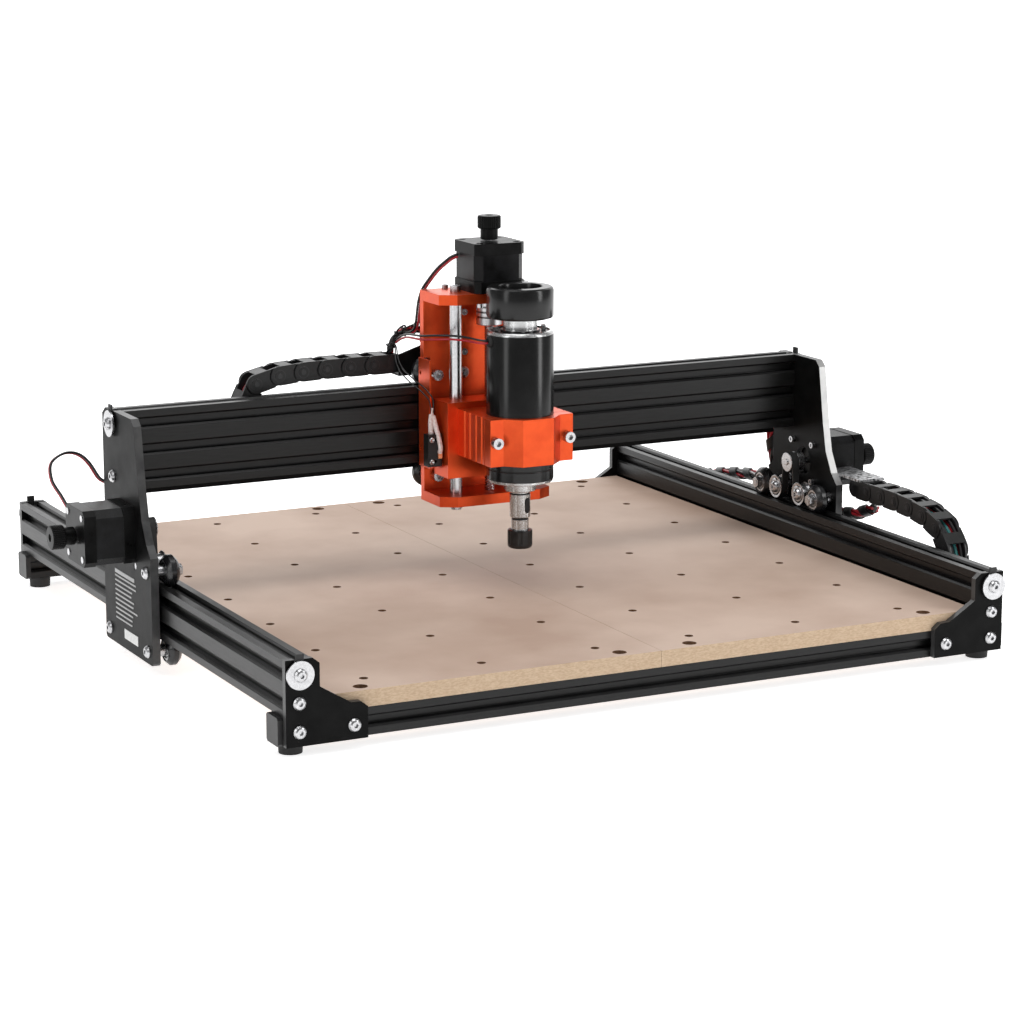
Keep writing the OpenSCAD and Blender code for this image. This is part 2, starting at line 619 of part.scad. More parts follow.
module carriage_fasteners() {
  rail = beam_y;
  color("#c4c6c9") {
    for (sx = [-1, 1], z = [beam_bot - wheel_gap, beam_top + wheel_gap])
      translate([head_x + sx * x_wheel_dx, 0, z]) {
        translate([0, 8, 0]) rotate([90, 0, 0]) socket_screw(27.2);
        translate([0, rail - 5.2, 0]) rotate([90, 0, 0]) washer(4.6, m5 + 0.01, rail - 19.2);
        translate([0, rail + 9.1, 0]) rotate([90, 0, 0]) hex_nut(8, m5 + 0.01, 4);
      }
    for (sx = [-1, 1]) translate([motor_x + sx * 15.5, 0, x_idler_z]) {
      translate([0, 8, 0]) rotate([90, 0, 0]) button_screw(26);
      translate([0, rail - 4.1, 0]) rotate([90, 0, 0]) washer(3.9, m5 + 0.01, rail - 18.1);
      translate([0, rail + 8.1, 0]) rotate([90, 0, 0]) hex_nut(8, m5 + 0.01, 4);
    }
    for (sx = [-1, 1], sz = [-1, 1])
      translate([motor_x + sx * 15.5, 0, x_motor_z + sz * 15.5]) {
        translate([0, 8, 0]) rotate([90, 0, 0]) socket_screw(34.4, 1.5);
        translate([0, 36.5, 0]) rotate([90, 0, 0]) washer(3.5, 1.52, 22.5);
        translate([0, 74.8, 0]) rotate([-90, 0, 0]) cylinder(r = 2.6, h = 1.8);
      }
    for (sx = [-1, 1]) translate([head_x + sx * rod_dx, rod_y, 0]) {
      translate([0, 0, z_top + z_plate]) socket_screw(19);
      translate([0, 0, z_bot - z_plate]) mirror([0, 0, 1]) socket_screw(19);
    }
    for (x = [head_l + 20, head_r - 20]) {
      translate([x, 11, z_top + z_plate]) socket_screw(16.5, 1.5);
      translate([x, 11, z_bot - z_plate]) mirror([0, 0, 1]) socket_screw(16.5, 1.5);
    }
    for (sx = [-1, 1], sy = [-1, 1])
      translate([head_x + sx * 15.5, rod_y + sy * 15.5, z_top]) mirror([0, 0, 1])
        socket_screw(12.2, 1.5);
  }
}

module x_belt_loop() {
  color("#1b1b1c") translate([motor_x, beam_y + belt_w / 2, x_idler_z]) rotate([90, 0, 0])
    linear_extrude(height = belt_w) belt_loop_profile(15.5, x_motor_z - x_idler_z);
}

module limit_switch() {
  color("#d6532a") difference() {
    translate([head_l - 1.5, -6, 126.5]) cube([1.5, 20, 85]);
    for (z = [140, 200]) translate([head_l - 3, 11, z]) rotate([0, 90, 0]) cylinder(r = 1.6, h = 6);
  }
  color("#d6532a") translate([head_l - 1.5, -10.3, 128]) cube([1.5, 4.31, 31]);
  color("#121213") difference() {
    translate([-59, -19, 131]) cube([11.5, 8.6, 25]);
    for (z = [135, 152]) translate([-53, -5, z]) rotate([90, 0, 0]) cylinder(r = 1.2, h = 20);
  }
  color("#c9a13a") translate([-56, -14.2, 156]) cube([6, 1, 4.5]);
}

module switch_wires() color("#2a2a2c") tube(switch_route, 1, 8);

module z_motor_lead() color("#2a1214") tube(z_lead_route, 2, 10);

module carriage_loom() color("#151516") tube(carriage_loom_route, 3, 10);

module x_wheel(sx, z) {
  color("#1c1c1e") translate([head_x + sx * x_wheel_dx, beam_y, z]) rotate([90, 0, 0]) v_wheel();
}

module x_upper_left_wheel() x_wheel(-1, beam_top + wheel_gap);

module x_upper_right_wheel() x_wheel(1, beam_top + wheel_gap);

module x_lower_left_wheel() x_wheel(-1, beam_bot - wheel_gap);

module x_lower_right_wheel() x_wheel(1, beam_bot - wheel_gap);

module x_idler(sx) {
  color("#d2d4d6") translate([motor_x + sx * 15.5, beam_y, x_idler_z]) rotate([90, 0, 0]) belt_idler();
}

module x_left_idler() x_idler(-1);

module x_right_idler() x_idler(1);

module x_motor_pulley() {
  color("#cfd1d4") translate([motor_x, beam_y, x_motor_z]) rotate([-90, 0, 0]) pulley_shaft(-5, 50.5);
}

module z_leadscrew() {
  color("#c9cbce") translate([head_x, rod_y, 0]) {
    translate([0, 0, z_bot - z_plate]) cylinder(r = screw_d / 2, h = 150);
    translate([0, 0, 237]) cylinder(r = 10, h = 24.5);
    translate([0, 0, 260]) cylinder(r = m5, h = 43);
    translate([0, 0, z_top + z_plate + 38.4]) hand_knob();
  }
}

module z_slide() {
  color("#e0582b") difference() {
    translate([head_x - 44, -26.6, slide_z0]) cube([87, 24.6, slide_z1 - slide_z0]);
    translate([head_x, rod_y, slide_z0 - 1]) cylinder(r = screw_d / 2 + 0.05, h = 62);
    for (sx = [-1, 1]) translate([head_x + sx * rod_dx, rod_y, slide_z0 - 1])
      cylinder(r = guide_d / 2 + 0.05, h = 62);
  }
}

module clamp_outline() {
  difference() {
    polygon([[-35, -26.6], [-35, -82], [-24, -82], [-13, -93], [13, -93], [24, -82], [35, -82],
      [35, -26.6]]);
    translate([0, -spindle_y]) circle(d = spindle_d);
    for (sx = [-1, 1], y = [-67, -57.5, -47, -38]) translate([sx * 35.2, y]) circle(r = 1.3);
    for (sx = [-1, 1]) translate([sx * 30.5 - 8, -72.4]) square([16, 0.8]);
  }
}

module spindle_clamp() {
  color("#e8622f") difference() {
    translate([head_x, 0, clamp_z0]) linear_extrude(height = clamp_z1 - clamp_z0) clamp_outline();
    for (sx = [-1, 1]) translate([head_x + sx * 30.5, -90, 158.5]) rotate([-90, 0, 0])
      cylinder(r = m5_hole, h = 26);
  }
  color("#141415") for (sx = [-1, 1]) translate([head_x + sx * 30.5, -82.02, 158.5]) rotate([90, 0, 0])
    socket_screw(15);
}

module spindle_body() {
  r = spindle_d / 2 - 0.05;
  color("#1a1b1e") translate([head_x, -spindle_y, 0]) difference() {
    rotate_extrude() polygon([[8.1, 116.3], [12.3, 116.3], [12.3, 123.8], [25, 123.8], [25, 126],
      [r, 126], [r, 238.7], [24.6, 241], [13, 241], [13, 249.4], [24.6, 249.4], [25.7, 250.6],
      [25.7, 272.3], [24.8, 273.5], [16.3, 273.5], [16.3, 256], [8.1, 256]]);
    translate([-20, 0, 232.5]) rotate([0, -90, 0]) cylinder(r = 3, h = 10);
  }
  color("#101011") translate([head_x, -spindle_y, 232.5]) rotate([0, -90, 0]) {
    translate([0, 0, 20.05]) cylinder(r = 2.97, h = 6);
    translate([0, 0, r + 0.05]) cylinder(r = 4.4, h = 27.5 - r - 0.05);
  }
}

module spindle_lead() color("#3a1416") tube(spindle_lead_route, 1.8, 8);

module spindle_shaft() {
  color("#d3d5d8") translate([head_x, -spindle_y, 0]) difference() {
    union() {
      translate([0, 0, 95.2]) cylinder(r = 8, h = 166);
      translate([0, 0, 78]) cylinder(r = 6.75, h = 17.5);
    }
    translate([0, 0, 70]) cylinder(d = collet_d, h = 40);
    for (sy = [-1, 1]) translate([-10, sy * 9.4 - 2, 98]) cube([20, 4, 8]);
  }
}

module collet_nut() {
  color("#17181a") translate([head_x, -spindle_y, 0]) difference() {
    rotate_extrude() polygon([[0, 71.3], [8.4, 71.3], [9.6, 73], [9.6, 84.6], [9, 85.5], [0, 85.5]]);
    translate([0, 0, 77.9]) cylinder(r = 6.8, h = 10);
    translate([0, 0, 70]) cylinder(d = collet_d, h = 20);
    for (a = [0 : 60 : 300]) rotate(a) translate([9.6, 0, 78]) cylinder(r = 1.6, h = 9);
  }
}

side_rails();
cross_rails();
rail_end_caps();
corner_brackets();
rubber_feet();
wasteboards();
frame_screws();
y_belts();
y_cable_chain();
chain_anchor();
gantry_plates();
x_beam();
chain_tray();
chain_bracket();
x_cable_chain();
y_motors();
gantry_fasteners();
gantry_belts();
motor_lead();
gantry_loom();
left_front_upper_wheel();
left_rear_upper_wheel();
left_front_lower_wheel();
left_rear_lower_wheel();
right_front_upper_wheel();
right_rear_upper_wheel();
right_front_lower_wheel();
right_rear_lower_wheel();
left_front_idler();
left_rear_idler();
right_front_idler();
right_rear_idler();
left_motor_pulley();
right_motor_pulley();
z_back_plate();
z_end_plates();
z_guide_rods();
z_motor();
x_motor();
x_motor_plate();
carriage_fasteners();
x_belt_loop();
limit_switch();
switch_wires();
z_motor_lead();
carriage_loom();
x_upper_left_wheel();
x_upper_right_wheel();
x_lower_left_wheel();
x_lower_right_wheel();
x_left_idler();
x_right_idler();
x_motor_pulley();
z_leadscrew();
z_slide();
spindle_clamp();
spindle_body();
spindle_lead();
spindle_shaft();
collet_nut();
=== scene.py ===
"""Desktop CNC router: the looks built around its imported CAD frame, in metres."""
import math
import random

import bmesh
import bpy
from mathutils import Matrix, Vector


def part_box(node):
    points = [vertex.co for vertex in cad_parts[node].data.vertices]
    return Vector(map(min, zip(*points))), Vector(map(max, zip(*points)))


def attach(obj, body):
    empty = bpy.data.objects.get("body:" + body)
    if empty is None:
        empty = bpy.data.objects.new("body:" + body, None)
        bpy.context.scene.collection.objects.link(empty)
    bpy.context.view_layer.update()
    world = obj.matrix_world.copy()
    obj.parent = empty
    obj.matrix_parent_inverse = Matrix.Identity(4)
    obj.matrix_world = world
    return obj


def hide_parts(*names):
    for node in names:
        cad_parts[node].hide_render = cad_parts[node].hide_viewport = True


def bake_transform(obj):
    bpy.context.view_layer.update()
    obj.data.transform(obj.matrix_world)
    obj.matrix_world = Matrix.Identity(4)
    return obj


MM = 0.001
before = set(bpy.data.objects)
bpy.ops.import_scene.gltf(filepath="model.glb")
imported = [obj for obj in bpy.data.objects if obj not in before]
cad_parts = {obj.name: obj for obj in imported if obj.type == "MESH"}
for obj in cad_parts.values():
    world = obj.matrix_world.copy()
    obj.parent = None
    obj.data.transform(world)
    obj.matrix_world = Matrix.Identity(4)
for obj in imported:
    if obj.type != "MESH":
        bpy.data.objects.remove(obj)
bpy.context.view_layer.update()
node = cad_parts
bpy.context.scene.view_settings.view_transform = "Standard"

# axes and heights that several pieces share, in mm
SPINDLE_X, SPINDLE_Y, SPINDLE_RADIUS = -2, -62, 25.7
SCREW_X, SCREW_Y = -2, -9.5
Y_PULLEY_X, Y_PULLEY_Z = 280, 101.8
X_PULLEY = (-0.5, 26, 229.9)
CHAIN_TRAY_Y, CHAIN_RAIL_X = 49.5, 311
PLATE_FACE_X = -298


# ---------------------------------------------------------------- camera, light and floor

def make_camera():
    """A long lens from the front left, a little above the machine."""
    data = bpy.data.cameras.new("camera")
    data.sensor_width = 36
    data.lens = 107.33
    data.clip_start = 0.1
    data.clip_end = 30
    camera = bpy.data.objects.new("camera", data)
    bpy.context.scene.collection.objects.link(camera)
    forward = Vector((0.4399, 0.8728, -0.2115)).normalized()
    right = forward.cross(Vector((0, 0, 1))).normalized()
    up = right.cross(forward)
    turn = Matrix((right, up, -forward)).transposed().to_4x4()
    camera.matrix_world = Matrix.Translation((-1.03726, -2.10249, 0.59381)) @ turn
    bpy.context.scene.camera = camera


def area_light(name, place, target, size, power):
    data = bpy.data.lights.new(name, "AREA")
    data.shape = "RECTANGLE"
    data.size, data.size_y = size
    data.energy = power
    lamp = bpy.data.objects.new(name, data)
    bpy.context.scene.collection.objects.link(lamp)
    aim = Vector(target) - Vector(place)
    lamp.matrix_world = Matrix.Translation(place) @ aim.to_track_quat("-Z", "Y").to_matrix().to_4x4()


def make_lights():
    """A pale room and four soft boxes; each has its place, target, size in metres, and watts."""
    world = bpy.data.worlds.new("studio")
    world.use_nodes = True
    sky = world.node_tree.nodes["Background"]
    sky.inputs["Color"].default_value = (0.98, 0.99, 1.0, 1)
    sky.inputs["Strength"].default_value = 0.28
    bpy.context.scene.world = world
    area_light("left_box", (-1.7, -0.5, 0.8), (0, 0, 0.2), (0.45, 1.3), 5)
    area_light("right_box", (1.25, -1.3, 0.8), (0, 0, 0.2), (0.4, 1.3), 10)
    area_light("top_box", (-0.3, -0.2, 1.9), (0, 0, 0.05), (1.6, 1.2), 20)
    area_light("back_box", (0.7, 2.0, 1.5), (0, 0, 0.15), (2.0, 1.0), 12)


def make_floor():
    """A white paper sweep: flat under the machine, rising in a wide curve far behind it."""
    away = Vector((0.45, 0.893, 0))
    side = Vector((0.893, -0.45, 0))
    near, far, bend, top, half_wide = -5, 3.2, 2, 6, 7
    line = [(near, 0), (far, 0)]
    for degrees in range(10, 91, 10):
        a = math.radians(degrees)
        line.append((far + bend * math.sin(a), bend - bend * math.cos(a)))
    line.append((far + bend, top))
    points = [away * run + side * wide + Vector((0, 0, high))
              for run, high in line for wide in (-half_wide, half_wide)]
    quads = [(2 * k, 2 * k + 1, 2 * k + 3, 2 * k + 2) for k in range(len(line) - 1)]
    mesh = bpy.data.meshes.new("floor")
    mesh.from_pydata(points, [], quads)
    mesh.shade_smooth()
    floor = bpy.data.objects.new("floor", mesh)
    bpy.context.scene.collection.objects.link(floor)
    paper = mottled("floor_paper", (0.93, 0.93, 0.93), (0.96, 0.96, 0.96), 0, 0.75, specular=0.2)
    shader = paper.node_tree.nodes["Principled BSDF"]
    shader.inputs["Emission Color"].default_value = (1, 1, 1, 1)
    shader.inputs["Emission Strength"].default_value = 0.75
    floor.data.materials.append(paper)


# ---------------------------------------------------------------- materials

def new_material(name):
    made = bpy.data.materials.new(name)
    made.use_nodes = True
    tree = made.node_tree
    return made, tree.nodes, tree.links, tree.nodes["Principled BSDF"]


def mottled(name, dark, light, metallic, rough, scale=90, stretch=(1, 1, 1), bump=0.15, grain=900,
            rough_spread=0.08, edge=0.0, coat=0.0, specular=0.5, lines=None):
    """A surface that varies softly between two colours, with fine grain and softened edges.

    lines is (axis, scale, depth): ribs for a belt, a turned finish or the fine plates of a motor."""
    made, nodes, links, shader = new_material(name)
    where = nodes.new("ShaderNodeTexCoord")
    placed = nodes.new("ShaderNodeMapping")
    placed.inputs["Scale"].default_value = stretch
    links.new(where.outputs["Object"], placed.inputs["Vector"])
    cloud = nodes.new("ShaderNodeTexNoise")
    cloud.inputs["Scale"].default_value = scale
    cloud.inputs["Detail"].default_value = 6
    links.new(placed.outputs["Vector"], cloud.inputs["Vector"])
    ramp = nodes.new("ShaderNodeValToRGB")
    ramp.color_ramp.elements[0].position = 0.35
    ramp.color_ramp.elements[0].color = (*dark, 1)
    ramp.color_ramp.elements[1].position = 0.65
    ramp.color_ramp.elements[1].color = (*light, 1)
    links.new(cloud.outputs["Fac"], ramp.inputs["Fac"])
    links.new(ramp.outputs["Color"], shader.inputs["Base Color"])
    spread = nodes.new("ShaderNodeMapRange")
    spread.inputs["To Min"].default_value = max(0.03, rough - rough_spread)
    spread.inputs["To Max"].default_value = min(1.0, rough + rough_spread)
    links.new(cloud.outputs["Fac"], spread.inputs["Value"])
    links.new(spread.outputs["Result"], shader.inputs["Roughness"])
    fine = nodes.new("ShaderNodeTexNoise")
    fine.inputs["Scale"].default_value = grain
    fine.inputs["Detail"].default_value = 3
    links.new(placed.outputs["Vector"], fine.inputs["Vector"])
    relief = nodes.new("ShaderNodeBump")
    relief.inputs["Strength"].default_value = bump
    relief.inputs["Distance"].default_value = 0.0002
    links.new(fine.outputs["Fac"], relief.inputs["Height"])
    last = relief
    if lines:
        axis, closeness, depth = lines
        wave = nodes.new("ShaderNodeTexWave")
        wave.wave_type = "BANDS"
        wave.bands_direction = axis
        wave.wave_profile = "SAW"
        wave.inputs["Scale"].default_value = closeness
        links.new(where.outputs["Object"], wave.inputs["Vector"])
        ribs = nodes.new("ShaderNodeBump")
        ribs.inputs["Strength"].default_value = 0.6
        ribs.inputs["Distance"].default_value = depth
        links.new(wave.outputs["Fac"], ribs.inputs["Height"])
        links.new(relief.outputs["Normal"], ribs.inputs["Normal"])
        last = ribs
    if edge:
        soft = nodes.new("ShaderNodeBevel")
        soft.samples = 4
        soft.inputs["Radius"].default_value = edge
        links.new(soft.outputs["Normal"], relief.inputs["Normal"])
    links.new(last.outputs["Normal"], shader.inputs["Normal"])
    shader.inputs["Metallic"].default_value = metallic
    shader.inputs["Specular IOR Level"].default_value = specular
    if coat:
        shader.inputs["Coat Weight"].default_value = coat
        shader.inputs["Coat Roughness"].default_value = 0.12
    return made


def paint(names, material):
    """Gives carried-over CAD nodes their material."""
    for name in names:
        piece = node[name]
        piece.data.materials.clear()
        piece.data.materials.append(material)


def make_materials():
    """Every look by name: its two colours, how metallic and how rough it is, and its extras."""
    made = {
        "extrusion": mottled("extrusion", (0.004, 0.004, 0.004), (0.008, 0.008, 0.008), 0, 0.34,
                             scale=60, stretch=(1, 1, 12), bump=0.06, grain=500, edge=0.0004,
                             specular=0.28),
        "plate": mottled("plate", (0.003, 0.003, 0.003), (0.006, 0.006, 0.006), 0, 0.42, edge=0.0005,
                         specular=0.07),
        "plate_edge": mottled("plate_edge", (0.035, 0.035, 0.036), (0.06, 0.06, 0.06), 0.3, 0.4),
        # painted highlight: the right gantry plate's front edge is coloured light where the lamps catch it
        "painted_highlight_edge": mottled("painted_highlight_edge", (0.40, 0.40, 0.40), (0.52, 0.52, 0.51), 0.6, 0.38,
                               scale=60),
        "orange": mottled("orange", (0.66, 0.066, 0.012), (0.76, 0.088, 0.017), 0.72, 0.33, bump=0.12,
                          edge=0.0005),
        "bare": mottled("bare", (0.50, 0.50, 0.51), (0.62, 0.62, 0.63), 1, 0.34, stretch=(1, 6, 1),
                        edge=0.0003),
        "steel": mottled("steel", (0.44, 0.44, 0.45), (0.56, 0.56, 0.57), 1, 0.28, scale=700,
                         edge=0.0002),
        "turned": mottled("turned", (0.50, 0.50, 0.50), (0.62, 0.62, 0.62), 1, 0.26, scale=900,
                          rough_spread=0.04, bump=0.05, lines=("Z", 900, 0.00004)),
        "polished": mottled("polished", (0.48, 0.48, 0.49), (0.58, 0.58, 0.59), 1, 0.25, scale=900,
                            bump=0.01, rough_spread=0.03, edge=0.0002),
        "dark_steel": mottled("dark_steel", (0.10, 0.10, 0.10), (0.2, 0.2, 0.2), 1, 0.32, scale=300),
        "bronze": mottled("bronze", (0.20, 0.14, 0.09), (0.34, 0.26, 0.18), 0.9, 0.35, scale=300),
        "spindle": mottled("spindle", (0.005, 0.005, 0.005), (0.008, 0.008, 0.008), 0, 0.2,
                           bump=0.01, edge=0.0004, rough_spread=0.02, specular=0.34),
        "motor": mottled("motor", (0.003, 0.003, 0.003), (0.007, 0.007, 0.007), 0, 0.3, edge=0.0005,
                         specular=0.08),
        "nut": mottled("nut", (0.012, 0.012, 0.013), (0.03, 0.03, 0.03), 0.5, 0.3, edge=0.0004),
        "plastic": mottled("plastic", (0.006, 0.006, 0.006), (0.011, 0.011, 0.011), 0, 0.4,
                           edge=0.0004, specular=0.36),
        "chain": mottled("chain", (0.008, 0.008, 0.008), (0.015, 0.015, 0.015), 0, 0.42, bump=0.3,
                         specular=0.35, grain=1600),
        "chain_bar": mottled("chain_bar", (0.07, 0.07, 0.072), (0.12, 0.12, 0.122), 0, 0.34,
                             bump=0.3, grain=1600),
        "rough_metal": mottled("rough_metal", (0.01, 0.01, 0.01), (0.62, 0.62, 0.63), 0.8, 0.36,
                               scale=380, bump=1.0, grain=700),
        "wheel": mottled("wheel", (0.008, 0.008, 0.009), (0.015, 0.015, 0.016), 0, 0.26, edge=0.0003),
        "rubber": mottled("rubber", (0.007, 0.007, 0.007), (0.014, 0.014, 0.014), 0, 0.7),
        "belt": mottled("belt", (0.008, 0.008, 0.008), (0.018, 0.018, 0.018), 0, 0.6,
                        lines=("Y", 160, 0.0004)),
        "board": mottled("board", (0.46, 0.325, 0.25), (0.58, 0.44, 0.355), 0, 0.62, scale=11,
                         bump=0.3, grain=1500, specular=0.25),
        "board_edge": mottled("board_edge", (0.46, 0.33, 0.22), (0.57, 0.43, 0.30), 0, 0.75,
                              scale=420, stretch=(1, 1, 3), bump=0.5, grain=1800, specular=0.2),
        # painted shade: the cut walls inside the holes are coloured dark brown for the shade in them
        "board_hole_shade": mottled("board_hole_shade", (0.16, 0.085, 0.05), (0.26, 0.15, 0.09), 0, 0.85,
                              scale=400, specular=0.1),
        "cable_black": mottled("cable_black", (0.006, 0.006, 0.007), (0.013, 0.013, 0.014), 0, 0.38),
        "cable_red": mottled("cable_red", (0.36, 0.012, 0.022), (0.46, 0.022, 0.035), 0, 0.35),
        "cable_teal": mottled("cable_teal", (0.03, 0.20, 0.20), (0.06, 0.28, 0.27), 0, 0.4),
        "cable_grey": mottled("cable_grey", (0.30, 0.29, 0.29), (0.42, 0.40, 0.40), 0, 0.35),
        "sleeve": mottled("sleeve", (0.66, 0.50, 0.46), (0.84, 0.74, 0.72), 0, 0.18, scale=500,
                          coat=0.6),
        "label_grey": mottled("label_grey", (0.30, 0.30, 0.30), (0.46, 0.46, 0.46), 0, 0.5, scale=900),
        "label_white": mottled("label_white", (0.62, 0.62, 0.61), (0.74, 0.74, 0.73), 0, 0.45,
                               scale=900),
        "copper": mottled("copper", (0.62, 0.20, 0.10), (0.78, 0.32, 0.16), 0.8, 0.3, scale=500),
    }
    for axis in "XYZ":
        name = "laminate_" + axis.lower()
        made[name] = mottled(name, (0.005, 0.005, 0.005), (0.011, 0.011, 0.012), 0.08, 0.36,
                             lines=(axis, 330, 0.0003), specular=0.12)
    return made


# ---------------------------------------------------------------- mesh tools

def settle(name, bm, materials, body=None, angle=32):
    """Turns a bmesh into a piece. Edges sharper than the angle stay sharp; angle 0 is flat all over."""
    bmesh.ops.recalc_face_normals(bm, faces=bm.faces)
    mesh = bpy.data.meshes.new(name)
    bm.to_mesh(mesh)
    bm.free()
    mesh.polygons.foreach_set("use_smooth", [angle > 0] * len(mesh.polygons))
    if angle:
        mesh.set_sharp_from_angle(angle=math.radians(angle))
    for material in materials:
        mesh.materials.append(material)
    piece = bpy.data.objects.new(name, mesh)
    bpy.context.scene.collection.objects.link(piece)
    if body:
        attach(piece, body)
    return piece


def facing(origin, axis, twist=(0, 0, 1)):
    """The placing whose Z runs along axis from origin, all in millimetres."""
    z = Vector(axis).normalized()
    side = Vector(twist)
    if abs(side.normalized().dot(z)) > 0.95:
        side = Vector((1, 0, 0))
    x = side.cross(z).normalized()
    turn = Matrix((x, z.cross(x), z)).transposed().to_4x4()
    return Matrix.Translation(Vector(origin) * MM) @ turn


def upright(x, y):
    """The placing of an upright axis at (x, y) mm."""
    return Matrix.Translation((x * MM, y * MM, 0))


def lathe(bm, profile, place, steps=48, wobble=None, bore=False):
    """Turns (radius, height, slot) points in mm round Z. The slot colours the band above its point.

    With bore, the last point joins back to the first and the middle stays open for a shaft or bolt."""
    rings = []
    for radius, height, _ in profile:
        ring = []
        for k in range(steps):
            a = 2 * math.pi * k / steps
            r = radius if wobble is None else wobble(radius, height, k)
            ring.append(bm.verts.new(place @ (Vector((r * math.cos(a), r * math.sin(a), height)) * MM)))
        rings.append(ring)
    for i in range(len(rings) if bore else len(rings) - 1):
        above = rings[(i + 1) % len(rings)]
        for k in range(steps):
            n = (k + 1) % steps
            bm.faces.new((rings[i][k], rings[i][n], above[n], above[k])).material_index = profile[i][2]
    if not bore:
        bm.faces.new(rings[0][::-1]).material_index = profile[0][2]
        bm.faces.new(rings[-1]).material_index = profile[-1][2]


def prism(bm, outline, low, high, place, slot_index=0, bevel=0.0):
    """Extrudes an outline of (x, y) mm from low to high along Z, with its rims bevelled."""
    bottom = [bm.verts.new(place @ (Vector((x, y, low)) * MM)) for x, y in outline]
    top = [bm.verts.new(place @ (Vector((x, y, high)) * MM)) for x, y in outline]
    faces = [bm.faces.new(bottom[::-1]), bm.faces.new(top)]
    for k in range(len(outline)):
        n = (k + 1) % len(outline)
        faces.append(bm.faces.new((bottom[k], bottom[n], top[n], top[k])))
    for face in faces:
        face.material_index = slot_index
    if bevel:
        rims = list({e for f in faces[:2] for e in f.edges})
        bmesh.ops.bevel(bm, geom=rims, offset=bevel * MM, segments=2, affect="EDGES",
                        clamp_overlap=True)


def box(bm, low, high, slot_index=0, bevel=0.3, place=None):
    """A box between two corners in mm, with the edges of its top and bottom bevelled."""
    x0, y0, z0 = low
    x1, y1, z1 = high
    corners = [(x0, y0), (x1, y0), (x1, y1), (x0, y1)]
    prism(bm, corners, z0, z1, place or Matrix(), slot_index, bevel)


def smooth_route(points, steps=4):
    """A smooth line in metres through the route's points, given in mm."""
    p = [Vector(q) * MM for q in points]
    p = [p[0] * 2 - p[1]] + p + [p[-1] * 2 - p[-2]]
    line = []
    for i in range(1, len(p) - 2):
        for s in range(steps):
            t = s / steps
            a, b, c, d = p[i - 1], p[i], p[i + 1], p[i + 2]
            line.append(0.5 * (2 * b + (c - a) * t + (2 * a - 5 * b + 4 * c - d) * t * t
                               + (3 * b - a - 3 * c + d) * t * t * t))
    return line + [p[-2]]


def frames(line):
    """Heading, side and up at each point of a line, carried along without twist."""
    out = []
    side = None
    for i, here in enumerate(line):
        heading = (line[min(i + 1, len(line) - 1)] - line[max(i - 1, 0)]).normalized()
        if side is None:
            base = Vector((0, 0, 1)) if abs(heading.z) < 0.9 else Vector((1, 0, 0))
            side = heading.cross(base).normalized()
        side = (side - heading * side.dot(heading)).normalized()
        out.append((here, heading, side, heading.cross(side)))
    return out


def tube(bm, line, radius, slot_index=0, sides=10, offset=None):
    """A closed tube along a line; offset(share of the line) gives its (side, up) shift in mm."""
    rings = []
    for i, (here, _, side, up) in enumerate(frames(line)):
        du, dv = offset(i / (len(line) - 1)) if offset else (0, 0)
        centre = here + (side * du + up * dv) * MM
        rings.append([bm.verts.new(centre + (side * math.cos(2 * math.pi * k / sides)
                                             + up * math.sin(2 * math.pi * k / sides)) * radius * MM)
                      for k in range(sides)])
    for low, high in zip(rings, rings[1:]):
        for k in range(sides):
            n = (k + 1) % sides
            bm.faces.new((low[k], low[n], high[n], high[k])).material_index = slot_index
    bm.faces.new(rings[0][::-1]).material_index = slot_index
    bm.faces.new(rings[-1]).material_index = slot_index


def run_length(line):
    return sum((b - a).length for a, b in zip(line, line[1:]))


def ring_points(cx, radius, a0, a1, count):
    """Points (x, y) of an arc round (cx, 0), from angle a0 to a1 in degrees."""
    angles = [math.radians(a0 + (a1 - a0) * k / count) for k in range(count + 1)]
    return [(cx + radius * math.cos(a), radius * math.sin(a)) for a in angles]


def circle(radius, count):
    return ring_points(0, radius, 0, 360, count)[:-1]


def recut(name, rule, materials, body):
    """A piece with a CAD node's own shape, whose faces take their materials by where they lie."""
    bm = bmesh.new()
    bm.from_mesh(node[name].data)
    bmesh.ops.remove_doubles(bm, verts=bm.verts, dist=1e-6)
    for face in bm.faces:
        face.material_index = rule(face.calc_center_median() / MM, face.normal)
    piece = settle(name + "_finish", bm, materials, body, 0)
    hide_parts(name)
    return piece


# ---------------------------------------------------------------- cords

def declare(line, cad):
    """Hides a lead's CAD node; the line's length and points are worked out but not kept."""
    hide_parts(cad)
    round(run_length(line), 3)
    [tuple(p) for p in line]


def wire_pair(name, points, radius, gap, colours, cad, bodies, swell=0.0):
    """Two wires side by side along one route, swell mm wider apart half way."""
    line = smooth_route(points)
    bm = bmesh.new()
    for slot_index, sign in ((0, 1), (1, -1)):
        def shift(share, sign=sign):
            return 0, sign * (gap + swell * math.sin(math.pi * share) ** 2)
        tube(bm, line, radius, slot_index, 10, shift)
    piece = settle(name, bm, [look[c] for c in colours], angle=60)
    if len(bodies) == 1:
        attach(piece, bodies[0])
    else:
        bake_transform(piece)
    declare(line, cad)


def make_cords():
    red_black = ("cable_red", "cable_black")
    wire_pair("left_motor_wires", MOTOR_LEAD, 0.95, 0.95, red_black, "motor_lead", ("gantry",))
    wire_pair("z_motor_wires", Z_LEAD, 0.95, 0.95, red_black, "z_motor_lead", ("x_carriage",))
    wire_pair("spindle_wires", SPINDLE_LEAD, 0.85, 0.95, red_black, "spindle_lead",
              ("z_carriage", "x_carriage"), swell=0.5)
    wire_pair("limit_switch_wires", SWITCH_LEAD, 0.5, 0.5, ("cable_black", "cable_black"),
              "switch_wires", ("x_carriage",), swell=1.6)
    make_gantry_loom()
    make_carriage_loom()


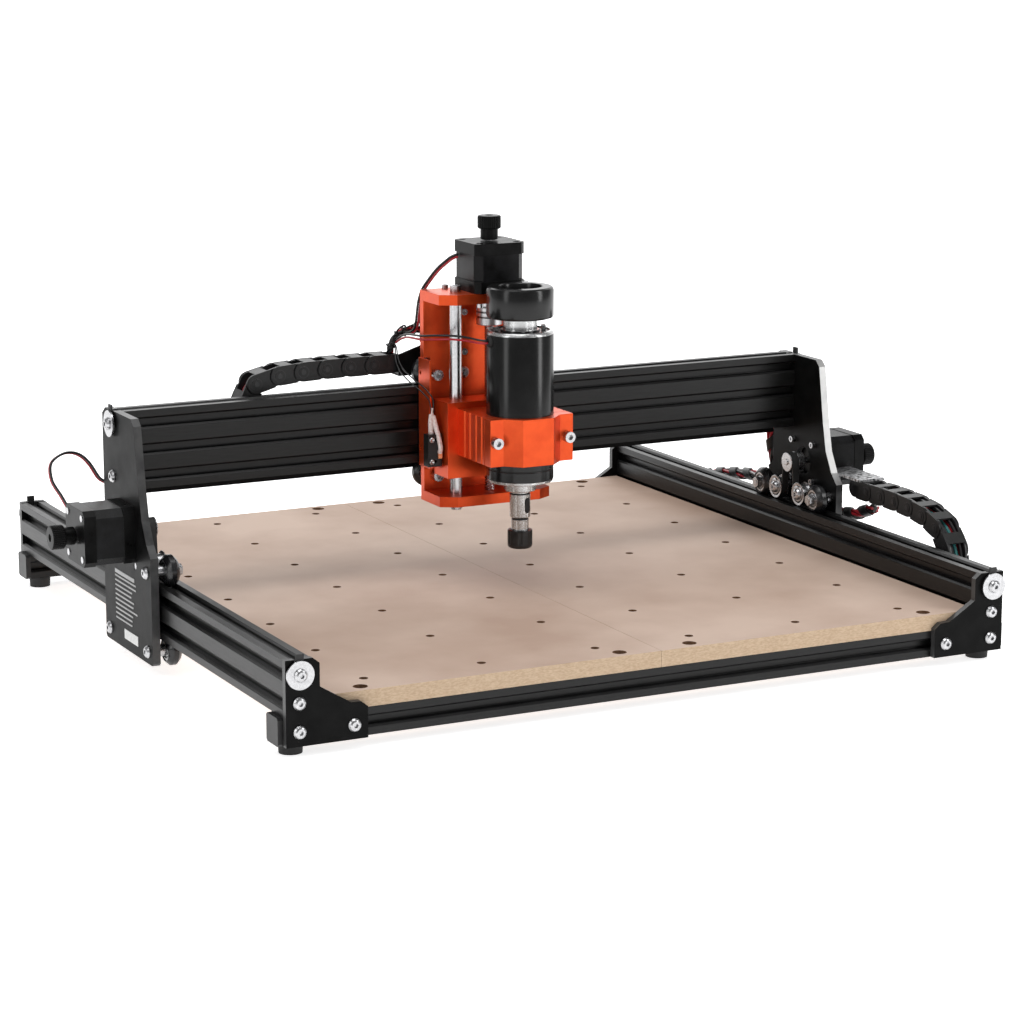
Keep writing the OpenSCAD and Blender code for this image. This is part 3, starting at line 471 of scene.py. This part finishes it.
def twisted(bm, line, colours, reach, radius, sides, turns, core):
    """A bundle: one wire for each colour slot, wound round a black core reach mm from it."""
    count = len(colours)
    for k, slot_index in enumerate(colours):
        def shift(share, k=k):
            a = 2 * math.pi * (k / count + share * turns)
            return reach * math.cos(a), reach * math.sin(a)
        tube(bm, line, radius, slot_index, sides, shift)
    tube(bm, line, core, 0, 6)


def spiral_wrap(bm, line, pitch, wide, inner, outer):
    """A flat strip wound round a line, one turn in each pitch, its ends just short of the line's."""
    placed = frames(line)
    total = run_length(line)
    turns = total / (pitch * MM)
    steps_per_turn, margin = 22, 0.012
    steps = int(turns * steps_per_turn)
    passed = [0.0]
    for a, b in zip(line, line[1:]):
        passed.append(passed[-1] + (b - a).length)

    def spot(share):
        want = share * total
        i = next((i for i in range(len(line) - 2) if passed[i + 1] >= want), len(line) - 2)
        t = min(1.0, max(0.0, (want - passed[i]) / (passed[i + 1] - passed[i])))
        here, heading, side = [placed[i][k].lerp(placed[i + 1][k], t) for k in range(3)]
        heading.normalize()
        side.normalize()
        return here, heading, side, heading.cross(side)
    half = wide / 2 * MM
    rows = []
    for s in range(steps + 1):
        share = margin + (1 - 2 * margin) * s / steps
        here, heading, side, up = spot(share)
        a = 2 * math.pi * turns * share
        out = side * math.cos(a) + up * math.sin(a)
        rows.append([bm.verts.new(here + heading * along + out * high * MM)
                     for along, high in ((-half, inner), (half, inner), (half, outer), (-half, outer))])
    for low, high in zip(rows, rows[1:]):
        for k in range(4):
            n = (k + 1) % 4
            bm.faces.new((low[k], low[n], high[n], high[k]))
    bm.faces.new(rows[0][::-1])
    bm.faces.new(rows[-1])


def make_gantry_loom():
    """A bundle of twisted wires inside an open spiral wrap."""
    line = smooth_route(GANTRY_LOOM, 6)
    bm = bmesh.new()
    twisted(bm, line, (1, 1, 0, 1, 0, 2), reach=2.9, radius=1.35, sides=7, turns=6, core=1.9)
    spiral_wrap(bm, line, pitch=23, wide=10.4, inner=4.5, outer=5.4)
    piece = settle("gantry_wire_loom", bm, [look["cable_black"], look["cable_red"], look["cable_grey"]],
                   "gantry", 50)
    declare(line, "gantry_loom")


def make_carriage_loom():
    """The wires that rise from the chain's last link, bunched and tied beside the head."""
    line = smooth_route(CARRIAGE_LOOM)
    bm = bmesh.new()
    twisted(bm, line, (0, 0, 0, 1, 0), reach=1.9, radius=1.0, sides=8, turns=1.3, core=1.1)
    piece = settle("carriage_wire_loom", bm, [look["cable_black"], look["cable_red"], look["cable_grey"]],
                   "x_carriage", 50)
    ties = bmesh.new()
    placed = frames(line)
    for i, spin, tail in ((7, 2.6, 5), (15, 2.2, 6), (19, 2.4, 5), (25, 1.9, 5)):
        cable_tie(ties, placed[i], spin, tail)
    tied = settle("carriage_cable_ties", ties, [look["plastic"]], "x_carriage", 50)
    declare(line, "carriage_loom")


def cable_tie(bm, spot, spin, tail):
    """A band round a bundle, its lock at the angle spin, and its curled tail."""
    here, heading, side, up = spot
    curl_radius = tail * 0.75
    band = [here + (side * x + up * y) * MM for x, y in ring_points(0, 3.5, 0, 360, 18)]
    tube(bm, band, 0.75, 0, 6)
    out = side * math.cos(spin) + up * math.sin(spin)
    tube(bm, [here + out * 3 * MM, here + out * 5.2 * MM], 1.7, 0, 8)
    curl = []
    for degrees in range(0, 231, 15):
        a = math.radians(degrees)
        curl.append(here + out * (3.4 + curl_radius * math.sin(a)) * MM
                    + heading * curl_radius * (1 - math.cos(a)) * MM)
    tube(bm, curl, 0.7, 0, 6)


# the cord routes, in mm, as the CAD model has them
MOTOR_LEAD = [(-335, 21.3, 118), (-335, 22.6, 118), (-336.4, 25, 121.4), (-339.2, 26.4, 127.2),
    (-342.5, 28, 133), (-344.4, 30, 138), (-344.6, 33, 145), (-342.5, 36, 150),
    (-338, 37.5, 153.5), (-331, 39.5, 155.8), (-323, 42, 155), (-315.5, 44, 151),
    (-309, 46, 144), (-304, 48.5, 136.5), (-300, 50.5, 131.5), (-294, 52, 128),
    (-286, 52.5, 125.6), (-274, 52, 124.2)]
Z_LEAD = [(-23.3, 2, 290), (-24.6, 2, 290), (-28, 3.8, 288.2), (-32, 6, 284.6), (-36.8, 9, 279.5),
    (-41.8, 13, 271.5), (-46, 16.8, 263), (-48.2, 18.6, 254), (-48.8, 20.4, 244),
    (-48.6, 23, 236), (-48.4, 27, 231.2), (-48.8, 32, 228.4), (-49.4, 37, 227),
    (-50, 42.4, 226.4)]
SPINDLE_LEAD = [(-29.52, -62, 232.5), (-31.4, -62, 232.5), (-34, -60.6, 232.6), (-36.2, -57, 232.8),
    (-38, -50, 233), (-41, -41, 233), (-46, -32, 232.8), (-51.6, -24.4, 232.2),
    (-56, -15, 231), (-58.4, -5, 229.8), (-58.9, 4, 229.2), (-58.9, 13, 228.6),
    (-58.6, 22, 227.4), (-58.2, 31, 225), (-57.6, 38, 222.4), (-57, 43.2, 220.2)]
SWITCH_LEAD = [(-53, -13.7, 161), (-53, -13.6, 164.5), (-53, -13.4, 170), (-53, -13.2, 176.5),
    (-53.7, -12.6, 182.6), (-56, -9, 187.1), (-57.9, -4, 190.4), (-59.6, 4, 193.2),
    (-61.5, 12, 196.8), (-62.8, 20, 200.6), (-63, 27, 205.8), (-61.6, 33, 211),
    (-59.2, 39, 214.8), (-57.4, 44.8, 216.9)]
CARRIAGE_LOOM = [(-59.6, 49.5, 210.7), (-59.4, 49.4, 213), (-58.6, 48.9, 217), (-56.5, 47.8, 221.4),
    (-53, 46.8, 225), (-48, 46.4, 227.3), (-42, 46.9, 228), (-35.5, 48.8, 227.2),
    (-29, 51, 226), (-24.5, 52.3, 225.2), (-21.8, 52.6, 225)]
GANTRY_LOOM = [(311, -80, 75), (311, -70, 71.2), (311, -58, 67), (311, -44.7, 63.6), (311, -26, 62),
    (311, 0, 63), (311, 25, 66), (311, 55, 69), (311, 85, 69.8), (311, 112, 68),
    (311, 138, 64.4), (311, 162, 60), (311, 184, 55), (311, 203, 49), (311, 217, 41.5),
    (311, 223, 33), (311, 219, 24.5), (311, 208, 18), (311, 192, 14.6), (311, 170, 14),
    (311, 145, 15), (311, 120, 18.5), (311, 98, 26), (311, 82, 38), (310, 72, 54),
    (307.5, 67, 72), (303.5, 64, 90), (299.5, 61.5, 108), (296, 59, 120), (291.6, 56, 127.6),
    (286.5, 54, 131)]


# ---------------------------------------------------------------- cable chains

# the chains' pins as (run, height) in mm, as the CAD model has them
X_CHAIN_PINS = [(-57.5, 203), (-77.5, 203), (-97.4, 203), (-117.2, 202.8), (-137, 202.2), (-156.6, 200.6),
    (-176, 195.6), (-184.5, 177.6), (-185.5, 158), (-177.5, 140), (-160, 129.8),
    (-140.2, 129.4), (-120.4, 129.4), (-100.6, 129.4), (-80.8, 129.4), (-61, 129.4)]
Y_CHAIN_PINS = [(-59.4, 88.4), (-79.2, 88.5), (-99, 88.8), (-118.8, 88.5), (-138.5, 87.4), (-158, 84.6),
    (-176.8, 78), (-189.8, 63), (-193.2, 43.6), (-185.4, 25.5), (-168.5, 15.2),
    (-148.8, 13.5), (-129, 13.5), (-109.2, 13.5), (-89.4, 13.5), (-69.6, 13.5)]


def chain_link(bm, place, pitch):
    """One link from its first pin at 0 to its second at pitch: X along, Y up, Z across."""
    waist = pitch * 0.62
    outer = ring_points(0, 8.8, -57, 57, 8) + [(waist, 7.5)]
    outer += ring_points(pitch, 7.5, 90, -90, 12) + [(waist, -7.5)]
    inner = ring_points(0, 7.2, 90, 270, 12) + [(11, -7.0), (11, 7.0)]
    hub = place @ Matrix.Translation((pitch * MM, 0, 0))
    cheek = ((outer, 7.9, 9.5, place, 0, 0.35), (inner[::-1], 6.2, 7.8, place, 4, 0.2),
             (circle(5.0, 20), 9.3, 9.58, hub, 4, 0.2), (circle(4.2, 20), 9.3, 10.0, hub, 0, 0.2),
             (circle(2.2, 16), 9.6, 10.3, hub, 4, 0.2))
    for sign in (-1, 1):
        for outline, near, far, where, slot_index, bevel in cheek:
            low, high = sorted((sign * near, sign * far))
            prism(bm, outline, low, high, where, slot_index, bevel)
    box(bm, (8.2, 5.9, -8.6), (pitch - 1.2, 7.45, 8.6), 1, 0.35, place)
    box(bm, (8.6, -7.4, -8.4), (pitch - 1.6, -6.1, 8.4), 0, 0.3, place)


def make_chain(name, pins, to_frame, across, cad):
    """Links between pins; to_frame turns (run, height) into row millimetres."""
    bm = bmesh.new()
    z = Vector(across)
    for a, b in zip(pins, pins[1:]):
        pa, pb = Vector(to_frame(*a)), Vector(to_frame(*b))
        x = (pb - pa).normalized()
        place = Matrix.Translation(pa * MM) @ Matrix((x, z.cross(x), z)).transposed().to_4x4()
        chain_link(bm, place, (pb - pa).length)
    centre = smooth_route([to_frame(*p) for p in pins], 3)
    flip = 1 if frames(centre)[0][2].dot(z) > 0 else -1
    for aside, raised, radius, slot_index in ((-4.2, -1.5, 1.5, 2), (-1.2, 1.2, 1.7, 4),
                                              (1.9, -1, 1.6, 3), (4.6, 1, 1.3, 2),
                                              (4.3, -3.2, 1.3, 4)):
        def shift(share, u=aside * flip, v=raised):
            return u, v + 1.2 * math.sin(9 * share + u)
        tube(bm, centre, radius, slot_index, 7, shift)
    piece = settle(name, bm, [look["chain"], look["chain_bar"], look["cable_red"], look["cable_teal"],
                              look["cable_black"]], angle=35)
    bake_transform(piece)
    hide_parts(cad)


def make_chains():
    """The X chain behind the beam and the Y chain beside the right rail, each link set between its pins."""
    make_chain("x_chain_links", X_CHAIN_PINS, lambda u, z: (u, CHAIN_TRAY_Y, z), (0, -1, 0),
               "x_cable_chain")
    make_chain("y_chain_links", Y_CHAIN_PINS, lambda u, z: (CHAIN_RAIL_X, u, z), (1, 0, 0),
               "y_cable_chain")


# ---------------------------------------------------------------- spindle and head

def make_spindle():
    """The spindle's case with its bright shoulders, vent ribs, hollow cap and wire grommet."""
    r = SPINDLE_RADIUS
    profile = [(8.1, 116.3, 1), (11.8, 116.3, 1), (12.3, 116.9, 1), (12.3, 123.8, 1), (24.6, 123.8, 1),
               (25.1, 124.3, 1), (25.1, 125.8, 1), (r, 126.0, 0), (r, 133.6, 0), (25.35, 133.9, 0),
               (25.35, 134.5, 0), (r, 134.8, 0), (r, 237.6, 1), (25.0, 239.2, 1), (24.2, 240.0, 1),
               (22.6, 240.3, 0), (22.3, 239.4, 0), (15, 239.4, 0), (14.7, 240.6, 1), (13, 240.7, 1),
               (13, 249.6, 0), (23.6, 249.6, 0), (25.0, 250.2, 0), (25.6, 251.6, 0), (25.6, 270.8, 0),
               (25.0, 272.4, 0), (23.6, 273.3, 0), (17.4, 273.4, 0), (16.5, 272.7, 0), (16.2, 271.6, 0),
               (16.2, 257.5, 2), (9.2, 257.0, 2), (8.3, 255.5, 2)]
    bm = bmesh.new()
    place = upright(SPINDLE_X, SPINDLE_Y)
    lathe(bm, profile, place, 96, bore=True)
    rng = random.Random(4)
    for a in (70, 75, 160, 165, 250, 340, 345):
        turn = place @ Matrix.Rotation(math.radians(a), 4, "Z")
        rib_top = 241.4 + rng.random() * 2.4
        box(bm, (16.5, -1.2, 239.4), (19.6, 1.2, rib_top), 1, 0.3, turn)
    for a in (60, 152, 240, 330):
        turn = place @ Matrix.Rotation(math.radians(a), 4, "Z") @ Matrix.Translation((0.0118, 0, 0))
        lathe(bm, [(1.9, 256.9, 1), (1.9, 258.6, 1), (1.4, 259.2, 1)], turn, 14)
    piece = settle("spindle_case", bm, [look["spindle"], look["turned"], look["plastic"]], "z_carriage", 28)
    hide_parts("spindle_body")
    bm = bmesh.new()
    lathe(bm, [(2.0, 24.6, 0), (3.9, 24.6, 0), (4.4, 25.1, 0), (4.3, 26.4, 0), (3.2, 27.4, 0),
               (2.1, 27.5, 0)], facing((SPINDLE_X, SPINDLE_Y, 232.5), (-1, 0, 0)), 28, bore=True)
    grommet = settle("spindle_grommet", bm, [look["rubber"]], "z_carriage")


def make_shaft():
    """The spindle's shaft, its two wrench slots drawn as dark patches of painted shade on its nose and its
    two grooves painted dark as shade, and the collet nut.
    """
    bm = bmesh.new()
    place = upright(SPINDLE_X, SPINDLE_Y)
    # painted shade: the bands marked 1 in the two grooves take the dark nut material
    profile = [(1.6, 78.1, 0), (6.75, 78.1, 0), (6.75, 93.4, 1), (6.3, 93.7, 1), (6.3, 94.8, 0),
               (7.4, 95.2, 0), (8, 95.9, 0), (8, 113.2, 1), (7.6, 113.5, 1), (7.6, 114.3, 0),
               (8, 114.6, 0), (8, 259.8, 0), (7.2, 261, 0), (3.4, 261, 1), (3.2, 258.2, 1)]
    lathe(bm, profile, place, 64)
    # painted shade: the wrench slots are thin dark patches on the shaft's surface, not cuts
    slot_angle = math.atan2(-0.95, 0.312)
    slot_height = 105
    outline = [(0.95 * x, y + (3.4 if y > 0 else -3.4)) for x, y in circle(2.6, 20)]
    lying = Matrix(((0, 0, 1), (1, 0, 0), (0, 1, 0))).to_4x4()
    for spin in (slot_angle, slot_angle + math.pi):
        turn = place @ Matrix.Rotation(spin, 4, "Z") @ Matrix.Translation((0, 0, slot_height * MM))
        prism(bm, outline, 7.9, 8.15, turn @ lying, 1)
    piece = settle("spindle_spine", bm, [look["turned"], look["nut"]], "spindle_rotor", 28)
    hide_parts("spindle_shaft")
    bm = bmesh.new()

    def slots(radius, height, k):
        return radius - 0.75 if radius > 8 and 74.5 < height < 84.9 and k % 12 < 3 else radius
    lathe(bm, [(1.7, 71.4, 1), (4.2, 71.4, 1), (4.4, 72.4, 1), (6.2, 72.4, 0), (6.5, 71.3, 0),
               (8.4, 71.4, 0), (9.3, 72.3, 0), (9.6, 73.4, 0), (9.6, 74.4, 0), (9.6, 74.9, 0),
               (9.6, 84.5, 0), (9.6, 84.9, 0), (9.3, 85.2, 0), (6.9, 85.5, 0)], place, 72, slots)
    nut = settle("collet_cap", bm, [look["nut"], look["dark_steel"]], "spindle_rotor", 30)
    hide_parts("collet_nut")


def knob(bm, place):
    """A knurled hand knob whose neck starts at 0 and top ends at 18.5 along Z."""
    def flutes(radius, height, k):
        return radius - (0.25 if height > 0.6 and k % 4 == 0 else 0)
    lathe(bm, [(2.6, 0, 0), (6.2, 0, 0), (6.8, 0.6, 0), (6.8, 8.8, 0)], place, 40, flutes)

    def ridges(radius, _, k):
        return radius - (0.5 if radius > 8.6 and k % 3 == 0 else 0)
    lathe(bm, [(5, 8.4, 0), (8.2, 8.4, 0), (9, 9.2, 0), (9, 17.5, 0), (8.3, 18.4, 0), (3, 18.5, 0),
               (2.6, 17.4, 0)], place, 108, ridges)


def thread(bm, low, high):
    """The four-start thread of 2 mm pitch between two heights, its crests flat."""
    steps, rows, pitch, starts = 24, 560, 2.0, 4
    rings = []
    for i in range(rows + 1):
        z = low + (high - low) * i / rows
        ring = []
        for k in range(steps):
            a = 2 * math.pi * k / steps
            phase = (z / (pitch * starts) - k / steps) * starts % 1
            r = 3.95 - 0.75 * min(1, max(0, 2.4 * abs(phase - 0.5) - 0.15))
            at = Vector((SCREW_X + r * math.cos(a), SCREW_Y + r * math.sin(a), z))
            ring.append(bm.verts.new(at * MM))
        rings.append(ring)
    for below, above in zip(rings, rings[1:]):
        for k in range(steps):
            n = (k + 1) % steps
            bm.faces.new((below[k], below[n], above[n], above[k]))
    bm.faces.new(rings[0][::-1])
    bm.faces.new(rings[-1])


def make_screw():
    """The lead screw with a real thread, its slotted coupling with the slots painted dark as shade, the
    motor's shaft and its knob.
    """
    bm = bmesh.new()
    thread(bm, 99, 237)
    base = upright(SCREW_X, SCREW_Y)
    coupling = [(4, 237, 1), (9.5, 237, 1), (10, 237.5, 1)]
    # painted shade: each slot's bottom and lower wall take dark steel, its upper wall stays bare
    for z in (242.6, 246.6, 250.6, 254.6):
        coupling += [(10, z, 2), (9.2, z + 0.3, 2), (9.2, z + 1.1, 1), (10, z + 1.4, 1)]
    coupling += [(10, 261, 1), (9.5, 261.5, 1), (2.5, 261.5, 1)]
    lathe(bm, coupling, base, 48)
    lathe(bm, [(2.5, 260, 1), (2.5, 303, 1)], base, 24)
    piece = settle("z_screw_spine", bm, [look["polished"], look["bare"], look["dark_steel"]], "z_screw", 38)
    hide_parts("z_leadscrew")
    bm = bmesh.new()
    knob(bm, base @ Matrix.Translation((0, 0, 0.3029)))
    top = settle("z_hand_knob", bm, [look["motor"]], "z_screw", 28)


def make_pulley(name, origin, axis, knob_at):
    """A toothed belt pulley on its motor shaft, its toothed band painted dark as shade, with the knob
    behind the motor.
    """
    place = facing(origin, axis)
    bm = bmesh.new()

    def teeth(radius, _, k):
        return radius - (0.9 if radius < 6.2 and k % 4 in (0, 1) else 0)
    # painted shade: the toothed band between the flanges takes dark steel
    lathe(bm, [(2.5, -4.2, 0), (7.6, -4.2, 0), (8, -3.9, 0), (8, -3.4, 0), (6.1, -3.2, 1),
               (6.1, 3.2, 0), (8, 3.4, 0), (8, 9.0, 0), (7.5, 9.4, 0), (2.5, 9.4, 0)], place, 80, teeth)
    lathe(bm, [(2.3, -5, 0), (2.5, -4.8, 0), (2.5, knob_at, 0)], place, 20)
    piece = settle(name + "_wheel", bm, [look["steel"], look["dark_steel"]], name, 28)
    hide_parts(name)
    bm = bmesh.new()
    knob(bm, place @ Matrix.Translation((0, 0, (knob_at + 0.5) * MM)))
    top = settle(name + "_knob", bm, [look["motor"]], name, 28)


def roller_place(name):
    """The placing of a CAD wheel or idler: its centre, with Z along its bolt."""
    low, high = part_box(name)
    centre = [(a + b) / 2 / MM for a, b in zip(low, high)]
    return facing(centre, (0, 1, 0) if name.startswith("x_") else (1, 0, 0))


def make_roller(name, shell, shell_steps, bearing):
    """A shell of revolution with a ball bearing let into each side, bored for its bolt."""
    place = roller_place(name)
    bm = bmesh.new()
    lathe(bm, shell, place, shell_steps, bore=True)
    for sign in (1, -1):
        lathe(bm, bearing, place @ Matrix.Diagonal((1, sign, sign, 1)), 40, bore=True)
    return bm


def make_wheels():
    """V-wheels and belt idlers, each with the steel rings of its ball bearings."""
    tyre = [(5.5, -4.042, 2), (8.05, -4.042, 2), (8.1, -5.1, 2), (8.8, -5.1, 2), (9.1, -4.9, 2),
            (11.8, -2.1, 2), (12, -1.8, 2), (12, 1.8, 2), (11.8, 2.1, 2), (9.1, 4.9, 2),
            (8.8, 5.1, 2), (8.1, 5.1, 2), (8.05, 4.042, 2), (5.5, 4.042, 2)]
    wheel_bearing = [(2.55, -4.55, 0), (3.9, -4.55, 0), (4.1, -4.3, 1), (4.1, -4.05, 1), (6.3, -4.05, 1),
                     (6.5, -4.55, 0), (7.9, -4.55, 0), (8.0, -4.35, 0), (8.0, -3.55, 0)]
    for name in [n for n in node if n.endswith("_wheel")]:
        bm = make_roller(name, tyre, 64, wheel_bearing)
        piece = settle(name + "_tyre", bm, [look["steel"], look["dark_steel"], look["wheel"]], name, 28)
        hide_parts(name)
    rim = [(5.6, -3.6, 0), (9.2, -4.0, 0), (9.5, -3.8, 0), (9.5, -3.3, 0), (7.7, -3.3, 0),
           (7.7, 3.3, 0), (9.5, 3.3, 0), (9.5, 3.8, 0), (9.2, 4.0, 0), (5.6, 3.6, 0)]
    idler_bearing = [(2.6, -4.0, 0), (3.9, -4.0, 0), (4.1, -3.8, 1), (4.2, -3.7, 1), (5.9, -3.7, 0),
                     (6.1, -3.95, 0), (7.2, -3.95, 0)]
    for name in [n for n in node if n.endswith("_idler")]:
        bm = make_roller(name, rim, 56, idler_bearing)
        piece = settle(name + "_rings", bm, [look["steel"], look["bronze"]], name, 28)
        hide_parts(name)


def make_switch():
    """The limit switch: housing with its moulded steps, orange bracket and sleeved terminals."""
    def by_place(c, _):
        terminal = c.x < -50 and -14.5 < c.y < -13.0 and c.z > 156.02
        housing = -59.2 < c.x < -47.3 and c.y < -10.32 and 130.9 < c.z < 156.1
        return 2 if terminal else 1 if housing else 0
    recut("limit_switch", by_place, [look["orange"], look["plastic"], look["copper"]], "x_carriage")
    bm = bmesh.new()
    for z in (134.8, 152):
        lathe(bm, [(1.0, 19.0, 0), (2.1, 19.0, 0), (2.1, 20.0, 0), (1.5, 20.6, 0), (0.7, 20.2, 0)],
              facing((-56.2, 0, z), (0, -1, 0)), 20)
    screws = settle("switch_screws", bm, [look["steel"]], "x_carriage")
    bm = bmesh.new()
    upper = [(-54.4, -14, 155.8), (-54.6, -14.2, 160), (-54.6, -14.1, 165), (-53.6, -13.6, 171)]
    lower = [(-49.6, -19.6, 141.5), (-49.3, -20.2, 146), (-50.3, -18.6, 154), (-51.6, -16, 163),
             (-52.6, -13.8, 170)]
    for route, radius in ((upper, 2.1), (lower, 1.9)):
        line = smooth_route(route)
        tube(bm, line, radius, 0, 12)
        end, heading = frames(line)[-1][:2]
        tube(bm, [end - heading * 0.8 * MM, end + heading * 5 * MM], 0.85, 0, 8)
    sleeves = settle("switch_sleeves", bm, [look["sleeve"]], "x_carriage", 50)
    bm = bmesh.new()
    box(bm, (-51.2, -20.6, 137.2), (-47.9, -19.05, 143.5), 0, 0.3)
    tab = settle("switch_contact", bm, [look["copper"]], "x_carriage")


# ---------------------------------------------------------------- carried-over CAD shapes

def finish_cad():
    """Materials for the CAD nodes that are shown themselves."""
    paint(["side_rails", "cross_rails", "x_beam"], look["extrusion"])
    paint(["z_back_plate", "z_end_plates", "z_slide"], look["orange"])
    paint(["chain_tray", "x_motor_plate"], look["plate"])
    paint(["chain_anchor"], look["bare"])
    paint(["frame_screws", "gantry_fasteners", "carriage_fasteners"], look["steel"])
    paint(["z_guide_rods"], look["polished"])
    paint(["rail_end_caps"], look["plastic"])
    paint(["rubber_feet"], look["rubber"])
    paint(["y_belts", "gantry_belts", "x_belt_loop"], look["belt"])
    paint(["chain_bracket"], look["rough_metal"])

    def plate_rule(c, n):
        """Black faces, grey cut edges, and the right plate's front edge painted bright as a highlight."""
        if abs(n.x) > 0.6:
            return 0
        # slot 2 is the painted highlight on the right plate's front edge
        return 2 if c.x > 0 and n.y < -0.5 and c.z > 90 else 1
    recut("gantry_plates", plate_rule, [look["plate"], look["plate_edge"], look["painted_highlight_edge"]], "gantry")
    def bracket_rule(_, n):
        return 0 if abs(n.y) > 0.6 else 1
    recut("corner_brackets", bracket_rule, [look["plate"], look["plate_edge"]], "base")

    low, high = [Vector(corner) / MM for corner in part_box("wasteboards")]

    def board_rule(c, n):
        """Smooth top and bottom, fibrous cut edges and seam, and the walls in the holes painted dark as
        shade.
        """
        if abs(n.z) > 0.9 and (c.z > high.z - 0.5 or c.z < low.z + 0.5):
            return 0
        if high.y - abs(c.y) < 0.2 or high.x - abs(c.x) < 0.2 or abs(c.x) < 0.3:
            return 1
        return 2
    recut("wasteboards", board_rule, [look["board"], look["board_edge"], look["board_hole_shade"]], "base")

    def clamp_rule(c, _):
        """Steel where the two clamp bolts' heads stand out of the front."""
        face, reach, height, room = -82.01, 30.5, 158.5, 5
        bolt = c.y < face and abs(abs(c.x - SPINDLE_X) - reach) < room and abs(c.z - height) < room
        return 1 if bolt else 0
    recut("spindle_clamp", clamp_rule, [look["orange"], look["steel"]], "z_carriage")


def make_motors():
    """The stepping motors in the CAD's own bored shapes, with the stacked plates between their caps.

    The plates lie from low to high mm along the motor's axis, 0 for X, 1 for Y and 2 for Z."""
    for name, body, axis, low, high, laminate in (
            ("y_motors", "gantry", 0, 307.5, 328, "laminate_x"),
            ("z_motor", "x_carriage", 2, 273.5, 292.5, "laminate_z"),
            ("x_motor", "x_carriage", 1, 47.5, 66.5, "laminate_y")):
        def rule(c, n, axis=axis, low=low, high=high):
            return 1 if low < abs(c[axis]) < high and abs(n[axis]) < 0.4 else 0
        recut(name, rule, [look["motor"], look[laminate]], body)


def make_label():
    """A blank rating plate: pale rules where the printing would be, and an empty white sticker."""
    bm = bmesh.new()
    rng = random.Random(12)
    top, spacing, rear = 66, 3.6, 27
    for k in range(11):
        z = top - spacing * k
        wide = rng.uniform(34, 50) - (8 if k > 7 else 0)
        half = 1.5 if k == 0 else 0.6
        box(bm, (PLATE_FACE_X - 0.25, rear - wide, z - half), (PLATE_FACE_X + 0.1, rear, z + half), 0, 0)
    rules = settle("blank_label_rules", bm, [look["label_grey"]], "gantry")
    bm = bmesh.new()
    box(bm, (PLATE_FACE_X - 0.3, -20, 17), (PLATE_FACE_X + 0.1, 9, 24.5), 0, 0.1)
    sticker = settle("blank_sticker", bm, [look["label_white"]], "gantry")


make_camera()
look = make_materials()
make_cords()
make_lights()
make_floor()
make_chains()
make_spindle()
make_shaft()
make_screw()
make_pulley("left_motor_pulley", (-Y_PULLEY_X, 0, Y_PULLEY_Z), (-1, 0, 0), 58)
make_pulley("right_motor_pulley", (Y_PULLEY_X, 0, Y_PULLEY_Z), (1, 0, 0), 58)
make_pulley("x_motor_pulley", X_PULLEY, (0, 1, 0), 50.5)
make_wheels()
make_switch()
make_motors()
make_label()
finish_cad()
